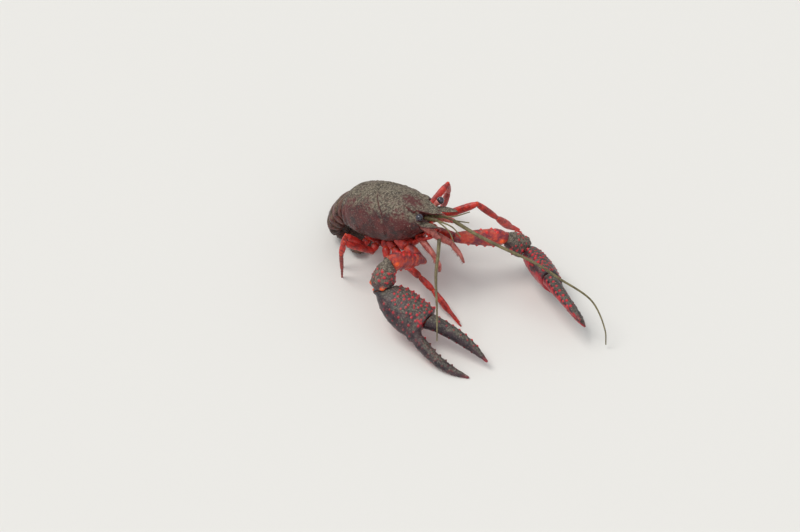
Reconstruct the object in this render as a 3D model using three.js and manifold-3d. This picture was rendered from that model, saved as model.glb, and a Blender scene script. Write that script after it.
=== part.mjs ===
// Red swamp crayfish at life size in millimetres, standing on its walking legs with both claws
// forward and the tail curled under. +X is the way it faces, +Y its left side, the floor is z = 0.

import * as THREE from 'three';
import Module from 'manifold-3d';

const wasm = await Module();
wasm.setup();

// Clear gap between two jointed pieces, and the attitude of the head and trunk: the rostrum tip
// stands at ROSTRUM_TIP, the back slopes down behind it and the near side is a little raised.
const JOINT_GAP = 0.3;
const ROSTRUM_TIP = new THREE.Vector3(0.7, 0.9, 43);
const BODY_PITCH = THREE.MathUtils.degToRad(19);
const BODY_ROLL = THREE.MathUtils.degToRad(-4);
const vec = (x, y, z) => new THREE.Vector3(x, y, z);
const UP = vec(0, 0, 1);

// Middle of the stance on the floor, which becomes the origin of the part.
const MIDDLE = new THREE.Vector2(10.785, 2.585);

// Shell colours: silted grey back, dark red flanks and tail, red limbs, orange joints, olive feelers.
const SILT = { color: 0x6f6257, roughness: 0.85 };
const DARK_RED = { color: 0x4c1d1a, roughness: 0.5 };
const RED = { color: 0xa42a22, roughness: 0.45 };
const CLAW_FINISH = { color: 0x4a2a2c, roughness: 0.5 };
const OLIVE = { color: 0x6b6a45, roughness: 0.6 };
const ROSE = { color: 0xb06a60, roughness: 0.5 };
const EYE = { color: 0x14141f, roughness: 0.15 };

const crayfish = new THREE.Group();
crayfish.name = 'red_swamp_crayfish';
const stance = new THREE.Group();
stance.name = 'stance';
stance.position.set(-MIDDLE.x, -MIDDLE.y, 0);
crayfish.add(stance);
const body = new THREE.Group();
body.name = 'body';
body.position.copy(ROSTRUM_TIP);
body.rotation.set(BODY_ROLL, -BODY_PITCH, 0, 'ZYX');
body.updateMatrix();
stance.add(body);

// A point given in the trunk's own axes, found in the part's axes.
function bodyPoint(x, y, z) {
  return new THREE.Vector3(x, y, z).applyMatrix4(body.matrix);
}

// Smooth value through [position, value] knots, level beyond the first and the last.
function through(...knots) {
  const last = knots.length - 1;
  const slope = (i, j) => (knots[j][1] - knots[i][1]) / (knots[j][0] - knots[i][0]);
  return (x) => {
    if (x <= knots[0][0]) return knots[0][1];
    if (x >= knots[last][0]) return knots[last][1];
    let i = 0;
    while (x > knots[i + 1][0]) i += 1;
    const h = knots[i + 1][0] - knots[i][0];
    const t = (x - knots[i][0]) / h;
    const m0 = slope(Math.max(i - 1, 0), i + 1) * h;
    const m1 = slope(i, Math.min(i + 2, last)) * h;
    const rise = knots[i + 1][1] - knots[i][1];
    return knots[i][1] + t * m0 + t * t * (3 * rise - 2 * m0 - m1) + t * t * t * (m0 + m1 - 2 * rise);
  };
}

// Rounded section: [across, up] pairs of a curve |x/half|^n + |z/height|^n = 1, lower half by `down`.
function section(count, half, up, down, square = 2) {
  const bend = 2 / square;
  return Array.from({ length: count }, (_, k) => {
    const angle = (2 * Math.PI * (k + 0.5)) / count;
    const c = Math.cos(angle);
    const s = Math.sin(angle);
    const height = s > 0 ? up : down;
    return [half * Math.sign(c) * Math.abs(c) ** bend, height * Math.sign(s) * Math.abs(s) ** bend];
  });
}

// Closed surface through rings of equal count, each end closed by a fan about its centre.
function skin(rings) {
  const count = rings[0].length;
  const points = rings.flat();
  const faces = [];
  for (let r = 0; r + 1 < rings.length; r += 1) {
    for (let k = 0; k < count; k += 1) {
      const a = r * count + k;
      const b = r * count + ((k + 1) % count);
      faces.push(a, b, b + count, a, b + count, a + count);
    }
  }
  const centre = (ring) => ring.reduce((sum, p) => sum.add(p), new THREE.Vector3()).divideScalar(count);
  const first = points.push(centre(rings[0])) - 1;
  const last = points.push(centre(rings[rings.length - 1])) - 1;
  const tail = (rings.length - 1) * count;
  for (let k = 0; k < count; k += 1) {
    const next = (k + 1) % count;
    faces.push(first, next, k, last, tail + k, tail + next);
  }
  let volume = 0;
  for (let f = 0; f < faces.length; f += 3) {
    const [a, b, c] = [points[faces[f]], points[faces[f + 1]], points[faces[f + 2]]];
    volume += a.dot(new THREE.Vector3().crossVectors(b, c));
  }
  if (volume < 0) faces.reverse();
  const geometry = new THREE.BufferGeometry();
  geometry.setAttribute('position', new THREE.Float32BufferAttribute(points.flatMap((p) => p.toArray()), 3));
  geometry.setIndex(faces);
  return geometry;
}

// Surface along the x axis: at each station a section [across, up] pairs set about y and z.
function alongX(stations) {
  return skin(stations.map(({ x, y = 0, z = 0, shape, lean = () => 0 }) =>
    shape.map(([a, b]) => new THREE.Vector3(x + lean(a, b), y + a, z + b))));
}

function toSolid(geometry) {
  const vertProperties = new Float32Array(geometry.attributes.position.array);
  const triVerts = new Uint32Array(geometry.index.array);
  return new wasm.Manifold(new wasm.Mesh({ numProp: 3, vertProperties, triVerts }));
}

function toGeometry(solid) {
  const mesh = solid.getMesh();
  const geometry = new THREE.BufferGeometry();
  geometry.setAttribute('position', new THREE.Float32BufferAttribute(mesh.vertProperties, mesh.numProp));
  geometry.setIndex([...mesh.triVerts]);
  return geometry;
}

// Joins solids that share material, so that the node is one closed body.
function fuse(...geometries) {
  return toGeometry(geometries.map(toSolid).reduce((whole, piece) => whole.add(piece)));
}

function addPart(name, geometry, finish, parent = stance, origin = vec(0, 0, 0)) {
  const material = new THREE.MeshStandardMaterial({ ...finish, metalness: 0, name });
  const mesh = new THREE.Mesh(geometry, material);
  mesh.name = name;
  mesh.position.copy(origin);
  parent.add(mesh);
  return mesh;
}

// Pointed tubercle: a low cone of five sides from `root` sunk under the shell to its tip.
function thorn(root, tip, radius, sides = 5) {
  const axis = new THREE.Vector3().subVectors(tip, root).normalize();
  const side = new THREE.Vector3().crossVectors(Math.abs(axis.z) < 0.9 ? UP : vec(1, 0, 0), axis);
  side.normalize();
  const other = new THREE.Vector3().crossVectors(axis, side);
  const points = section(sides, radius, radius, radius).map(([a, b]) =>
    root.clone().addScaledVector(side, a).addScaledVector(other, b));
  points.push(tip.clone());
  const faces = [];
  for (let k = 0; k < sides; k += 1) {
    faces.push(k, (k + 1) % sides, sides);
    if (k > 0 && k + 1 < sides) faces.push(0, k + 1, k);
  }
  const geometry = new THREE.BufferGeometry();
  geometry.setAttribute('position', new THREE.Float32BufferAttribute(points.flatMap((p) => p.toArray()), 3));
  geometry.setIndex(faces);
  return geometry;
}

// Moves a point along `along` onto a plane, always or only from the wrong side of it.
function ontoPlane(point, plane, along, side = 0) {
  const gap = plane.at.clone().sub(point).dot(plane.normal);
  if (side === 0 || gap * side > 0) point.addScaledVector(along, gap / along.dot(plane.normal));
  return point;
}

// Jointed limb: a chain of bones between joints. Each bone has a profile of [share of length,
// half width, half height]; inner joints are mitred and fused, both ends are cut by the `ends` planes.
function limb({ joints, profiles, ends, sides = 8, up = UP, square = 2 }) {
  const rings = [];
  profiles.forEach((profile, b) => {
    const [from, to] = [joints[b], joints[b + 1]];
    const along = to.clone().sub(from).normalize();
    const length = from.distanceTo(to);
    const side = new THREE.Vector3().crossVectors(up, along).normalize();
    const top = new THREE.Vector3().crossVectors(along, side);
    const turn = (joint, before, after) => ({ at: joint, normal: before.clone().add(after).normalize() });
    const next = joints[b + 2] && joints[b + 2].clone().sub(to).normalize();
    const previous = b > 0 && from.clone().sub(joints[b - 1]).normalize();
    const start = previous ? turn(from, previous, along) : ends[0];
    const finish = b + 1 < profiles.length ? turn(to, along, next) : ends[1];
    profile.forEach(([share, half, height], r) => {
      const centre = from.clone().addScaledVector(along, share * length);
      rings.push(section(sides, half, height, height, square).map(([a, c]) => {
        const p = centre.clone().addScaledVector(side, a).addScaledVector(top, c);
        if (start) ontoPlane(p, start, along, b === 0 && r === 0 ? 0 : 1);
        if (finish) ontoPlane(p, finish, along, r === profile.length - 1 ? 0 : -1);
        return p;
      }));
    });
  });
  return skin(rings);
}

// The two facing planes of a joint between the bones before and after it.
function jointFaces(before, joint, after) {
  const normal = joint.clone().sub(before).normalize().add(after.clone().sub(joint).normalize()).normalize();
  const plane = (shift) => ({ at: joint.clone().addScaledVector(normal, shift), normal });
  return [plane(-JOINT_GAP / 2), plane(JOINT_GAP / 2)];
}

// Thorn on a bone of a limb, at a share of its length and an angle about it (a quarter turn is up).
function boneThorn({ from, to, profile }, share, angle, height, radius) {
  const along = to.clone().sub(from);
  const side = new THREE.Vector3().crossVectors(UP, along).normalize();
  const top = new THREE.Vector3().crossVectors(along, side).normalize();
  const half = through(...profile.map((row) => [row[0], row[1]]))(share);
  const up = through(...profile.map((row) => [row[0], row[2]]))(share);
  const foot = from.clone().addScaledVector(along, share);
  foot.addScaledVector(side, half * Math.cos(angle)).addScaledVector(top, up * Math.sin(angle));
  const out = along.clone().normalize().multiplyScalar(0.5 / half);
  out.addScaledVector(side, Math.cos(angle) / half).addScaledVector(top, Math.sin(angle) / up).normalize();
  const root = foot.clone().addScaledVector(out, -radius * 1.2);
  return thorn(root, foot.addScaledVector(out, height), radius);
}

// Part of a limb that reaches the floor, trimmed flat at z = 0.
function standing(geometry) {
  return toGeometry(toSolid(geometry).trimByPlane([0, 0, 1], 0));
}

// Carapace: one arched shell from the orbits to the rear edge, x measured back from the rostrum tip.
const HEAD_FRONT = -10;
const REAR_EDGE = -52;
const GROOVE_AT = -31;
const GROOVE_SWEEP = 9;
const carapaceHalf = through([-52, 11], [-47, 12.4], [-40, 13.1], [-33, 13], [-26, 12.2], [-19, 10.8],
  [-13, 8.6], [-10, 7]);
const carapaceTop = through([-52, 5.2], [-47, 7.2], [-40, 8.5], [-33, 8.8], [-26, 8.2], [-19, 6.8],
  [-13, 4.3], [-10, 2.6]);
const carapaceBelly = through([-52, -11.5], [-47, -14], [-40, -15.6], [-33, -16.2], [-26, -15.8],
  [-19, -13.8], [-13, -10.2], [-10, -8]);
const CARAPACE_MIDDLE = -5;

function carapaceSection(x, count = 32) {
  const middle = CARAPACE_MIDDLE;
  return section(count, carapaceHalf(x), carapaceTop(x) - middle, middle - carapaceBelly(x), 2.3);
}

function buildCarapace(grow = 0) {
  const rows = [REAR_EDGE, -51.2, -47.5, -43, -39, -35.5, -32.6, GROOVE_AT, -29.4, -26, -22.5, -19, -16];
  rows.push(-13.4, -11.4, HEAD_FRONT);
  const sweep = through([-52, 3.2], [-43, 3], [-35, 7], [-31, GROOVE_SWEEP], [-26, 6], [-19, 2], [-12, 0]);
  const stations = rows.map((x) => {
    const shape = carapaceSection(x);
    const groove = x === GROOVE_AT ? 0.945 : 1;
    const lip = x === REAR_EDGE ? 0.96 : 1;
    const half = carapaceHalf(x);
    return {
      x,
      z: CARAPACE_MIDDLE,
      shape: shape.map(([a, b]) => {
        const inset = (b > -4 ? groove * lip : lip) * (1 + grow / Math.hypot(a, b));
        return [a * inset, b * inset];
      }),
      lean: (a) => sweep(x) * (Math.min(Math.abs(a / half), 1) ** 2 - 0.35) * (x < -50 ? 0 : 1),
    };
  });
  return alongX(stations);
}

// Rostrum: a long trough-topped triangle with raised edges, ending in a fine upturned point.
function buildRostrum() {
  const half = through([-15, 4.9], [-10, 4.4], [-6, 3.1], [-2.6, 1.7], [-2, 1.1], [0, 0.25]);
  const height = through([-15, 4.1], [-10, 2.9], [-6, 1.6], [-2, 0.7], [0, 0.3]);
  const rows = [-15, -11, -8, -5, -2.8, -2, -1, 0];
  return alongX(rows.map((x) => {
    const w = half(x);
    const top = height(x);
    const ridge = Math.min(0.75, w * 0.4);
    const thick = Math.min(2.6, 0.6 - x * 0.16);
    return {
      x,
      shape: [[0, top - ridge], [-w * 0.68, top - ridge * 0.7], [-w * 0.9, top], [-w, top - ridge],
        [-w * 0.6, top - ridge - thick * 0.6], [0, top - ridge - thick], [w * 0.6, top - ridge - thick * 0.6],
        [w, top - ridge], [w * 0.9, top], [w * 0.68, top - ridge * 0.7]],
    };
  }));
}

// Height and slope of the flank, to seat a spine: a point of the carapace at x and a side angle.
function onCarapace(x, angle) {
  const bend = 2 / 2.3;
  const c = Math.cos(angle);
  const s = Math.sin(angle);
  const y = carapaceHalf(x) * Math.sign(c) * Math.abs(c) ** bend;
  const z = (carapaceTop(x) - CARAPACE_MIDDLE) * Math.abs(s) ** bend * Math.sign(s);
  return new THREE.Vector3(x, y, CARAPACE_MIDDLE + z);
}

function carapaceSpine(x, angle, length, radius, forward) {
  const foot = onCarapace(x, angle);
  const out = new THREE.Vector3(forward, Math.cos(angle), Math.sin(angle)).normalize();
  return thorn(foot.clone().addScaledVector(out, -1.2), foot.clone().addScaledVector(out, length), radius);
}

const postorbital = [1, -1].map((side) => alongX([-17, -14.5, -12, -10.6].map((x, k) => ({
  x,
  y: side * (5 + k * 0.25),
  z: carapaceTop(x) - 1.2 + k * 0.15,
  shape: section(6, [0.5, 0.9, 0.9, 0.15][k], [0.6, 1.1, 1.1, 0.2][k], 1.2),
}))));
const carapaceSpines = [1, -1].flatMap((side) => {
  const flank = side > 0 ? 0 : Math.PI;
  return [
    carapaceSpine(-23, flank + side * 0.42, 1.3, 0.8, 0.7),
    carapaceSpine(-13.6, flank + side * 0.1, 1.1, 0.7, 0.9),
  ];
});
addPart('carapace', fuse(buildCarapace(), buildRostrum(), ...postorbital, ...carapaceSpines), SILT, body);

// Hips: where each limb leaves the underside, in the trunk's axes, with the radius of its stub.
const HIPS = {
  claw: { x: -19.5, y: 7.6, z: -16, radius: 2.6 },
  leg2: { x: -27, y: 8.2, z: -17.6, radius: 2 },
  leg3: { x: -32, y: 8.2, z: -18.2, radius: 2 },
  leg4: { x: -38, y: 7.8, z: -17.8, radius: 1.9 },
  leg5: { x: -43.5, y: 7, z: -16.4, radius: 1.8 },
  maxilliped: { x: -14.5, y: 3, z: -13.2, radius: 1.7 },
};
const SIDES = { right: -1, left: 1 };

function hip(kind, side) {
  const { x, y, z } = HIPS[kind];
  return bodyPoint(x, SIDES[side] * y, z);
}

// Joints beyond the hip, read from the pose: end of the ischium, knee, wrist, finger root, foot.
const POSE = {
  leg2_right: [vec(-13, -10.5, 14.5), vec(-2.1, -12.5, 13), vec(4.5, -11.7, 8), vec(16.6, -14.7, 2.6),
    vec(23.3, -16.4, -0.2)],
  leg3_right: [vec(-21, -11.5, 12.5), vec(-17, -20, 15.5), vec(-15, -22.5, 9), vec(-10.5, -22, 2.8),
    vec(-8.4, -21, -0.2)],
  leg4_right: [vec(-29.5, -11.5, 13), vec(-35.8, -24, 24), vec(-37.1, -24.7, 17), vec(-38.1, -22.9, 5),
    vec(-38.5, -22.5, -0.2)],
  leg5_right: [vec(-35.5, -9.5, 11.5), vec(-41.1, -15.6, 19), vec(-42, -17.5, 13),
    vec(-42.6, -17.6, 4.5), vec(-42.8, -17.5, -0.2)],
  leg2_left: [vec(-18, 15.2, 17.5), vec(0.7, 27.7, 29), vec(6.2, 36.1, 17), vec(8.5, 45.3, 5),
    vec(10.5, 50, -0.2)],
  leg3_left: [vec(-22, 14, 18), vec(-18.6, 32, 27.5), vec(-20.5, 35.5, 19), vec(-25, 37, 6),
    vec(-27.5, 37, -0.2)],
  leg4_left: [vec(-31, 11.5, 13.5), vec(-38, 22, 21), vec(-40.5, 25, 15), vec(-43, 26, 5),
    vec(-44, 26, -0.2)],
  leg5_left: [vec(-38, 10.5, 12.5), vec(-47, 16, 19), vec(-50.5, 18.5, 13), vec(-54.5, 20.2, 4.5),
    vec(-56, 20.6, -0.2)],
  claw_right: [vec(-5, -8.5, 19), vec(-8.7, -27.1, 30), vec(-8.6, -33.9, 18)],
  claw_left: [vec(2, 8, 24), vec(19.5, 24, 21.5), vec(26.3, 31.1, 12)],
  maxilliped_right: [vec(0.5, -7.1, 25.4), vec(5.5, -8.2, 21.5), vec(5.9, -8.3, 17.5)],
  maxilliped_left: [vec(4.5, 2.1, 26.4), vec(9.5, 2.3, 21.8), vec(11.6, 2.3, 18)],
};

// Underside of the thorax: a keel between the legs with a short hip stub for every limb.
const KEEL_HALF = through([-49, 3.4], [-44, 5.4], [-30, 6.2], [-18, 4.4], [-16, 3]);

function buildUnderside() {
  const keel = alongX([-49, -45, -37, -28, -19, -16].map((x) => ({
    x,
    z: carapaceBelly(x) - 2.3,
    shape: section(10, KEEL_HALF(x), 1.9, 1.9, 2.6),
  })));
  keel.applyMatrix4(body.matrix);
  const stubs = Object.keys(POSE).map((limbName) => {
    const [kind, side] = limbName.split('_');
    const { x, radius } = HIPS[kind];
    const root = hip(kind, side);
    const along = POSE[limbName][0].clone().sub(root).normalize();
    const inner = bodyPoint(x, SIDES[side] * 2, carapaceBelly(x) - 2.6);
    const end = { at: root.clone().addScaledVector(along, -JOINT_GAP / 2), normal: along };
    const bend = root.clone().addScaledVector(along, -radius * 0.9);
    const core = [[0, 1.4, 1.4], [0.5, radius * 0.8, radius * 0.8], [1, radius, radius]];
    const rim = [[0.6, radius * 1.02, radius * 1.02], [1, radius * 0.88, radius * 0.88]];
    const stub = limb({ joints: [inner, bend, root], profiles: [core, rim], ends: [null, end], sides: 7 });
    return toGeometry(toSolid(stub).trimByPlane(along.clone().negate().toArray(), -along.dot(end.at)));
  });
  const clearance = buildCarapace(JOINT_GAP * 1.2).applyMatrix4(body.matrix);
  return toGeometry(toSolid(fuse(keel, ...stubs)).subtract(toSolid(clearance)));
}

addPart('thorax_underside', buildUnderside(), ROSE);

// Walking legs: ischium and merus in one piece, then the carpus, then the foot. Legs 2 and 3 end
// in a small pincer, legs 4 and 5 in a plain claw; every foot stands on a flat at its tip.
const LEG_SIZES = { leg2: 1.08, leg3: 1.04, leg4: 0.98, leg5: 0.94 };

function walkingLeg(limbName) {
  const [kind, side] = limbName.split('_');
  const k = LEG_SIZES[kind];
  const root = hip(kind, side);
  const [ischium, knee, wrist, finger, foot] = POSE[limbName];
  const rootAlong = ischium.clone().sub(root).normalize();
  const start = { at: root.clone().addScaledVector(rootAlong, JOINT_GAP / 2), normal: rootAlong };
  const kneeFaces = jointFaces(ischium, knee, wrist);
  const wristFaces = jointFaces(knee, wrist, finger);
  const sized = (profile) => profile.map(([share, half, height]) => [share, half * k, height * k]);
  const thigh = limb({
    joints: [root, ischium, knee],
    profiles: [sized([[0, 1.7, 1.7], [0.35, 1.85, 1.85], [1, 1.4, 1.6]]),
      sized([[0.25, 1.25, 1.75], [0.6, 1.3, 1.85], [0.86, 1.45, 1.6], [1, 1.05, 1.05]])],
    ends: [start, kneeFaces[0]],
  });
  addPart(`${limbName}_merus`, thigh.translate(-root.x, -root.y, -root.z), RED, stance, root);
  const shank = limb({
    joints: [knee, wrist],
    profiles: [sized([[0, 1, 1], [0.22, 1.2, 1.4], [0.75, 1.25, 1.35], [1, 0.9, 0.95]])],
    ends: [kneeFaces[1], wristFaces[0]],
  });
  addPart(`${limbName}_carpus`, shank.translate(-knee.x, -knee.y, -knee.z), RED, stance, knee);
  const pincer = kind === 'leg2' || kind === 'leg3';
  const hand = pincer
    ? sized([[0, 0.9, 0.95], [0.2, 1.2, 1.5], [0.7, 1.25, 1.75], [1, 0.8, 0.95]])
    : sized([[0, 0.9, 0.95], [0.2, 1, 1.2], [0.8, 0.85, 0.95], [1, 0.65, 0.7]]);
  const nail = pincer
    ? sized([[0.3, 0.62, 0.62], [0.75, 0.5, 0.5], [1.04, 0.4, 0.42]])
    : sized([[0.2, 0.6, 0.62], [0.6, 0.5, 0.5], [1.04, 0.42, 0.42]]);
  let end = limb({ joints: [wrist, finger, foot], profiles: [hand, nail], ends: [wristFaces[1], null] });
  if (pincer) {
    const reach = foot.clone().sub(finger);
    const above = wrist.clone().lerp(finger, 0.72).add(vec(0, 0, 0.5));
    const tip = foot.clone().addScaledVector(reach, -0.12).add(vec(0, 0, 1.5));
    end = fuse(end, limb({
      joints: [above, tip],
      profiles: [sized([[0, 0.75, 0.8], [0.5, 0.6, 0.65], [1, 0.26, 0.26]])],
      ends: [null, null],
      sides: 6,
    }));
  }
  const stood = standing(end);
  addPart(`${limbName}_foot`, stood.translate(-wrist.x, -wrist.y, -wrist.z), RED, stance, wrist);
}

Object.keys(POSE).filter((name) => name.startsWith('leg')).forEach(walkingLeg);

// Third maxillipeds: stout jaw feet folded forward under the mouth, one piece on each side.
Object.keys(SIDES).forEach((side) => {
  const limbName = `maxilliped_${side}`;
  const root = hip('maxilliped', side);
  const joints = [root, ...POSE[limbName]];
  const along = joints[1].clone().sub(root).normalize();
  const start = { at: root.clone().addScaledVector(along, JOINT_GAP / 2), normal: along };
  const geometry = limb({
    joints,
    profiles: [
      [[0, 1.45, 1.45], [0.3, 1.5, 1.9], [0.7, 1.4, 1.8], [1, 1.2, 1.3]],
      [[0.3, 1.15, 1.35], [0.75, 1.1, 1.2], [1, 0.85, 0.9]],
      [[0.3, 0.8, 0.85], [0.75, 0.6, 0.6], [1, 0.28, 0.28]],
    ],
    ends: [start, null],
  });
  addPart(limbName, geometry.translate(-root.x, -root.y, -root.z), ROSE, stance, root);
});

// Claws: base, merus, carpus, palm with its fixed outer finger, and the movable inner finger.
// In a claw's own axes x runs from the wrist to the tips, y to the inner side, z out of the back.
const CLAW = {
  right: { tips: vec(44.8, -35.9, 2.9), roll: 25, scale: 0.98, open: 6.5 },
  left: { tips: vec(71.4, 6.4, 13.4), roll: 62, scale: 0.9, open: 2.5 },
};
const MERUS_PROFILE = [[0, 2.2, 2.3], [0.2, 2.6, 3.2], [0.5, 3, 4], [0.8, 3.4, 4.4], [0.92, 3, 3.6],
  [1, 2.3, 2.5]];
const CARPUS_PROFILE = [[0, 2.3, 2.5], [0.2, 4, 4], [0.45, 5, 4.9], [0.75, 5.3, 5], [0.9, 4.4, 4.2],
  [1, 2.8, 2.7]];
const FORK_AT = 26;
const HINGE = { x: 26.3, y: 2.9 };
const FINGER_LENGTH = 33;
const palmMiddle = through([0, 0], [6, 0.2], [18, -0.3], [26, -0.9], [26.3, -5.4], [34, -7.8], [42, -8.6],
  [50, -7.8], [57.5, -5.6]);
const palmHalf = through([0, 2.9], [4, 5.8], [8, 7.7], [13, 8.9], [18, 9.2], [23, 9], [26, 8.5], [26.3, 3.9],
  [32, 3], [40, 2.5], [48, 2], [54, 1.3], [57.5, 0.5]);
const palmThick = through([0, 2.8], [4, 4.6], [10, 5.8], [17, 6.1], [23, 5.5], [26, 4.9], [26.3, 3.8],
  [32, 2.9], [40, 2.5], [48, 2], [54, 1.3], [57.5, 0.5]);
const fingerHalf = through([0, 4], [4, 3.5], [12, 3.1], [20, 2.6], [27, 1.7], [33, 0.5]);
const fingerThick = through([0, 3.9], [4, 3.6], [12, 3.2], [20, 2.6], [27, 1.7], [33, 0.5]);
const fingerMiddle = through([0, 0], [6, 0.9], [16, 1.2], [25, 0.4], [33, -1.3]);

const ALONG_X = new THREE.Vector3(1, 0, 0);

function buildPalm(inner, wristPlane) {
  const rows = [0, 3.6, 6, 9.5, 14, 19, 23.5, FORK_AT, FORK_AT + 0.3, 29, 33, 38, 44, 50, 54.5, 57.5];
  const ring = (x) => section(16, palmHalf(x), palmThick(x), palmThick(x) * 0.92, PALM.square);
  return skin(rows.map((x) => ring(x).map(([a, b]) => {
    const point = vec(x, inner * (palmMiddle(x) + a), b);
    return ontoPlane(point, wristPlane, ALONG_X, x === 0 ? 0 : 1);
  })));
}

// Tubercle on a palm or finger at x and an angle about it, 0 on the inner edge and a quarter turn
// on its back. It leans a little towards the tip.
const PALM = { half: palmHalf, thick: palmThick, middle: palmMiddle, square: 2.15 };
const FINGER = { half: fingerHalf, thick: fingerThick, middle: fingerMiddle, square: 2 };

function tubercle({ half, thick, middle, square }, x, angle, inner, height, radius) {
  const c = Math.cos(angle);
  const s = Math.sin(angle);
  const a = half(x) * Math.sign(c) * Math.abs(c) ** (2 / square);
  const b = thick(x) * Math.sign(s) * Math.abs(s) ** (2 / square);
  const foot = vec(x, inner * (middle(x) + a), b);
  const out = vec(0.35, inner * c, (s * half(x)) / thick(x)).normalize();
  const root = foot.clone().addScaledVector(out, -radius * 1.1);
  return thorn(root, foot.addScaledVector(out, height), radius);
}

function palmThorns(inner) {
  const thorns = [];
  for (let row = 0; row < 6; row += 1) {
    for (let k = 0; k < 7; k += 1) {
      const x = 7 + k * 3 + (row % 2) * 1.5;
      thorns.push(tubercle(PALM, Math.min(x, 25), 0.5 + row * 0.42, inner, 0.9, 0.85));
    }
  }
  for (let k = 0; k < 7; k += 1) thorns.push(tubercle(PALM, 6.5 + k * 3, 0.12, inner, 1.5, 1.05));
  for (let k = 0; k < 6; k += 1) thorns.push(tubercle(PALM, 30.5 + k * 3.5, 0.15, inner, 0.7, 0.8));
  for (let k = 0; k < 5; k += 1) thorns.push(tubercle(PALM, 29 + k * 4, 2, inner, 0.6, 0.65));
  return thorns;
}

function fingerThorns(inner) {
  const thorns = [];
  for (let k = 0; k < 5; k += 1) thorns.push(tubercle(FINGER, 4.5 + k * 4, 2.95, inner, 0.7, 0.8));
  for (let k = 0; k < 6; k += 1) thorns.push(tubercle(FINGER, 3.5 + k * 3.6, 0.3, inner, 0.8, 0.7));
  for (let k = 0; k < 5; k += 1) thorns.push(tubercle(FINGER, 5 + k * 3.8, 1.3, inner, 0.6, 0.6));
  return thorns;
}

function buildFinger(inner, open) {
  const rows = [0, 2.6, 6, 11, 17, 23, 28, 31, FINGER_LENGTH];
  const face = { at: vec(JOINT_GAP, 0, 0), normal: vec(Math.cos(open), -inner * Math.sin(open), 0) };
  const finger = skin(rows.map((x) => section(10, fingerHalf(x), fingerThick(x), fingerThick(x) * 0.95)
    .map(([a, b]) => ontoPlane(vec(x, inner * (fingerMiddle(x) + a), b), face, ALONG_X, x === 0 ? 0 : 1))));
  return fuse(finger, ...fingerThorns(inner));
}

Object.keys(SIDES).forEach((side) => {
  const { tips, roll, scale, open } = CLAW[side];
  const limbName = `claw_${side}`;
  const inner = -SIDES[side];
  const root = hip('claw', side);
  const [ischium, knee, wrist] = POSE[limbName];
  const rootAlong = ischium.clone().sub(root).normalize();
  const start = { at: root.clone().addScaledVector(rootAlong, JOINT_GAP / 2), normal: rootAlong };
  const ischiumFaces = jointFaces(root, ischium, knee);
  const kneeFaces = jointFaces(ischium, knee, wrist);
  const wristFaces = jointFaces(knee, wrist, tips);
  const place = (name, geometry, origin, finish) =>
    addPart(name, geometry.translate(-origin.x, -origin.y, -origin.z), finish, stance, origin);
  place(`${limbName}_base`, limb({
    joints: [root, ischium],
    profiles: [[[0, 2.3, 2.3], [0.3, 2.7, 2.8], [0.7, 2.6, 2.9], [1, 2.2, 2.3]]],
    ends: [start, ischiumFaces[0]],
    sides: 10,
  }), root, RED);
  const upperArm = limb({
    joints: [ischium, knee],
    profiles: [MERUS_PROFILE],
    ends: [ischiumFaces[1], kneeFaces[0]],
    sides: 12,
  });
  const armSpines = [];
  for (let k = 0; k < 4; k += 1) {
    const share = 0.28 + k * 0.16;
    armSpines.push(boneThorn({ from: ischium, to: knee, profile: MERUS_PROFILE }, share, -1.05, 0.9, 0.8));
    armSpines.push(boneThorn({ from: ischium, to: knee, profile: MERUS_PROFILE }, share, -2.1, 0.9, 0.8));
  }
  armSpines.push(boneThorn({ from: ischium, to: knee, profile: MERUS_PROFILE }, 0.76, 1.57, 1, 0.9));
  place(`${limbName}_merus`, fuse(upperArm, ...armSpines), ischium, RED);
  const foreArm = limb({
    joints: [knee, wrist],
    profiles: [CARPUS_PROFILE],
    ends: [kneeFaces[1], wristFaces[0]],
    sides: 12,
  });
  const carpusThorns = [];
  for (let row = 0; row < 3; row += 1) {
    for (let k = 0; k < 5; k += 1) {
      const angle = k * 0.72 + (row % 2) * 0.36;
      const share = 0.28 + row * 0.15;
      carpusThorns.push(boneThorn({ from: knee, to: wrist, profile: CARPUS_PROFILE }, share, angle, 1, 0.9));
    }
  }
  place(`${limbName}_carpus`, fuse(foreArm, ...carpusThorns), knee, CLAW_FINISH);
  const claw = new THREE.Group();
  claw.name = limbName;
  claw.position.copy(wrist);
  claw.scale.setScalar(scale);
  const along = tips.clone().sub(wrist).normalize();
  const level = new THREE.Vector3().crossVectors(UP, along).normalize();
  const back = new THREE.Vector3().crossVectors(along, level);
  const turn = -inner * THREE.MathUtils.degToRad(roll);
  const across = level.clone().multiplyScalar(Math.cos(turn)).addScaledVector(back, -Math.sin(turn));
  const out = new THREE.Vector3().crossVectors(along, across);
  claw.quaternion.setFromRotationMatrix(new THREE.Matrix4().makeBasis(along, across, out));
  stance.add(claw);
  claw.updateMatrix();
  const toLocal = claw.matrix.clone().invert();
  const wristPlane = {
    at: wristFaces[1].at.clone().applyMatrix4(toLocal),
    normal: wristFaces[1].normal.clone().transformDirection(toLocal),
  };
  const whole = toSolid(fuse(buildPalm(inner, wristPlane), ...palmThorns(inner)));
  const palm = toGeometry(whole.trimByPlane([along.z, across.z, out.z], -wrist.z / scale));
  addPart(`${limbName}_palm`, palm, CLAW_FINISH, claw);
  const swing = THREE.MathUtils.degToRad(open);
  const hinge = vec(HINGE.x, inner * HINGE.y, 0);
  const finger = addPart(`${limbName}_finger`, buildFinger(inner, swing), CLAW_FINISH, claw, hinge);
  finger.rotation.z = inner * swing;
});

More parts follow.
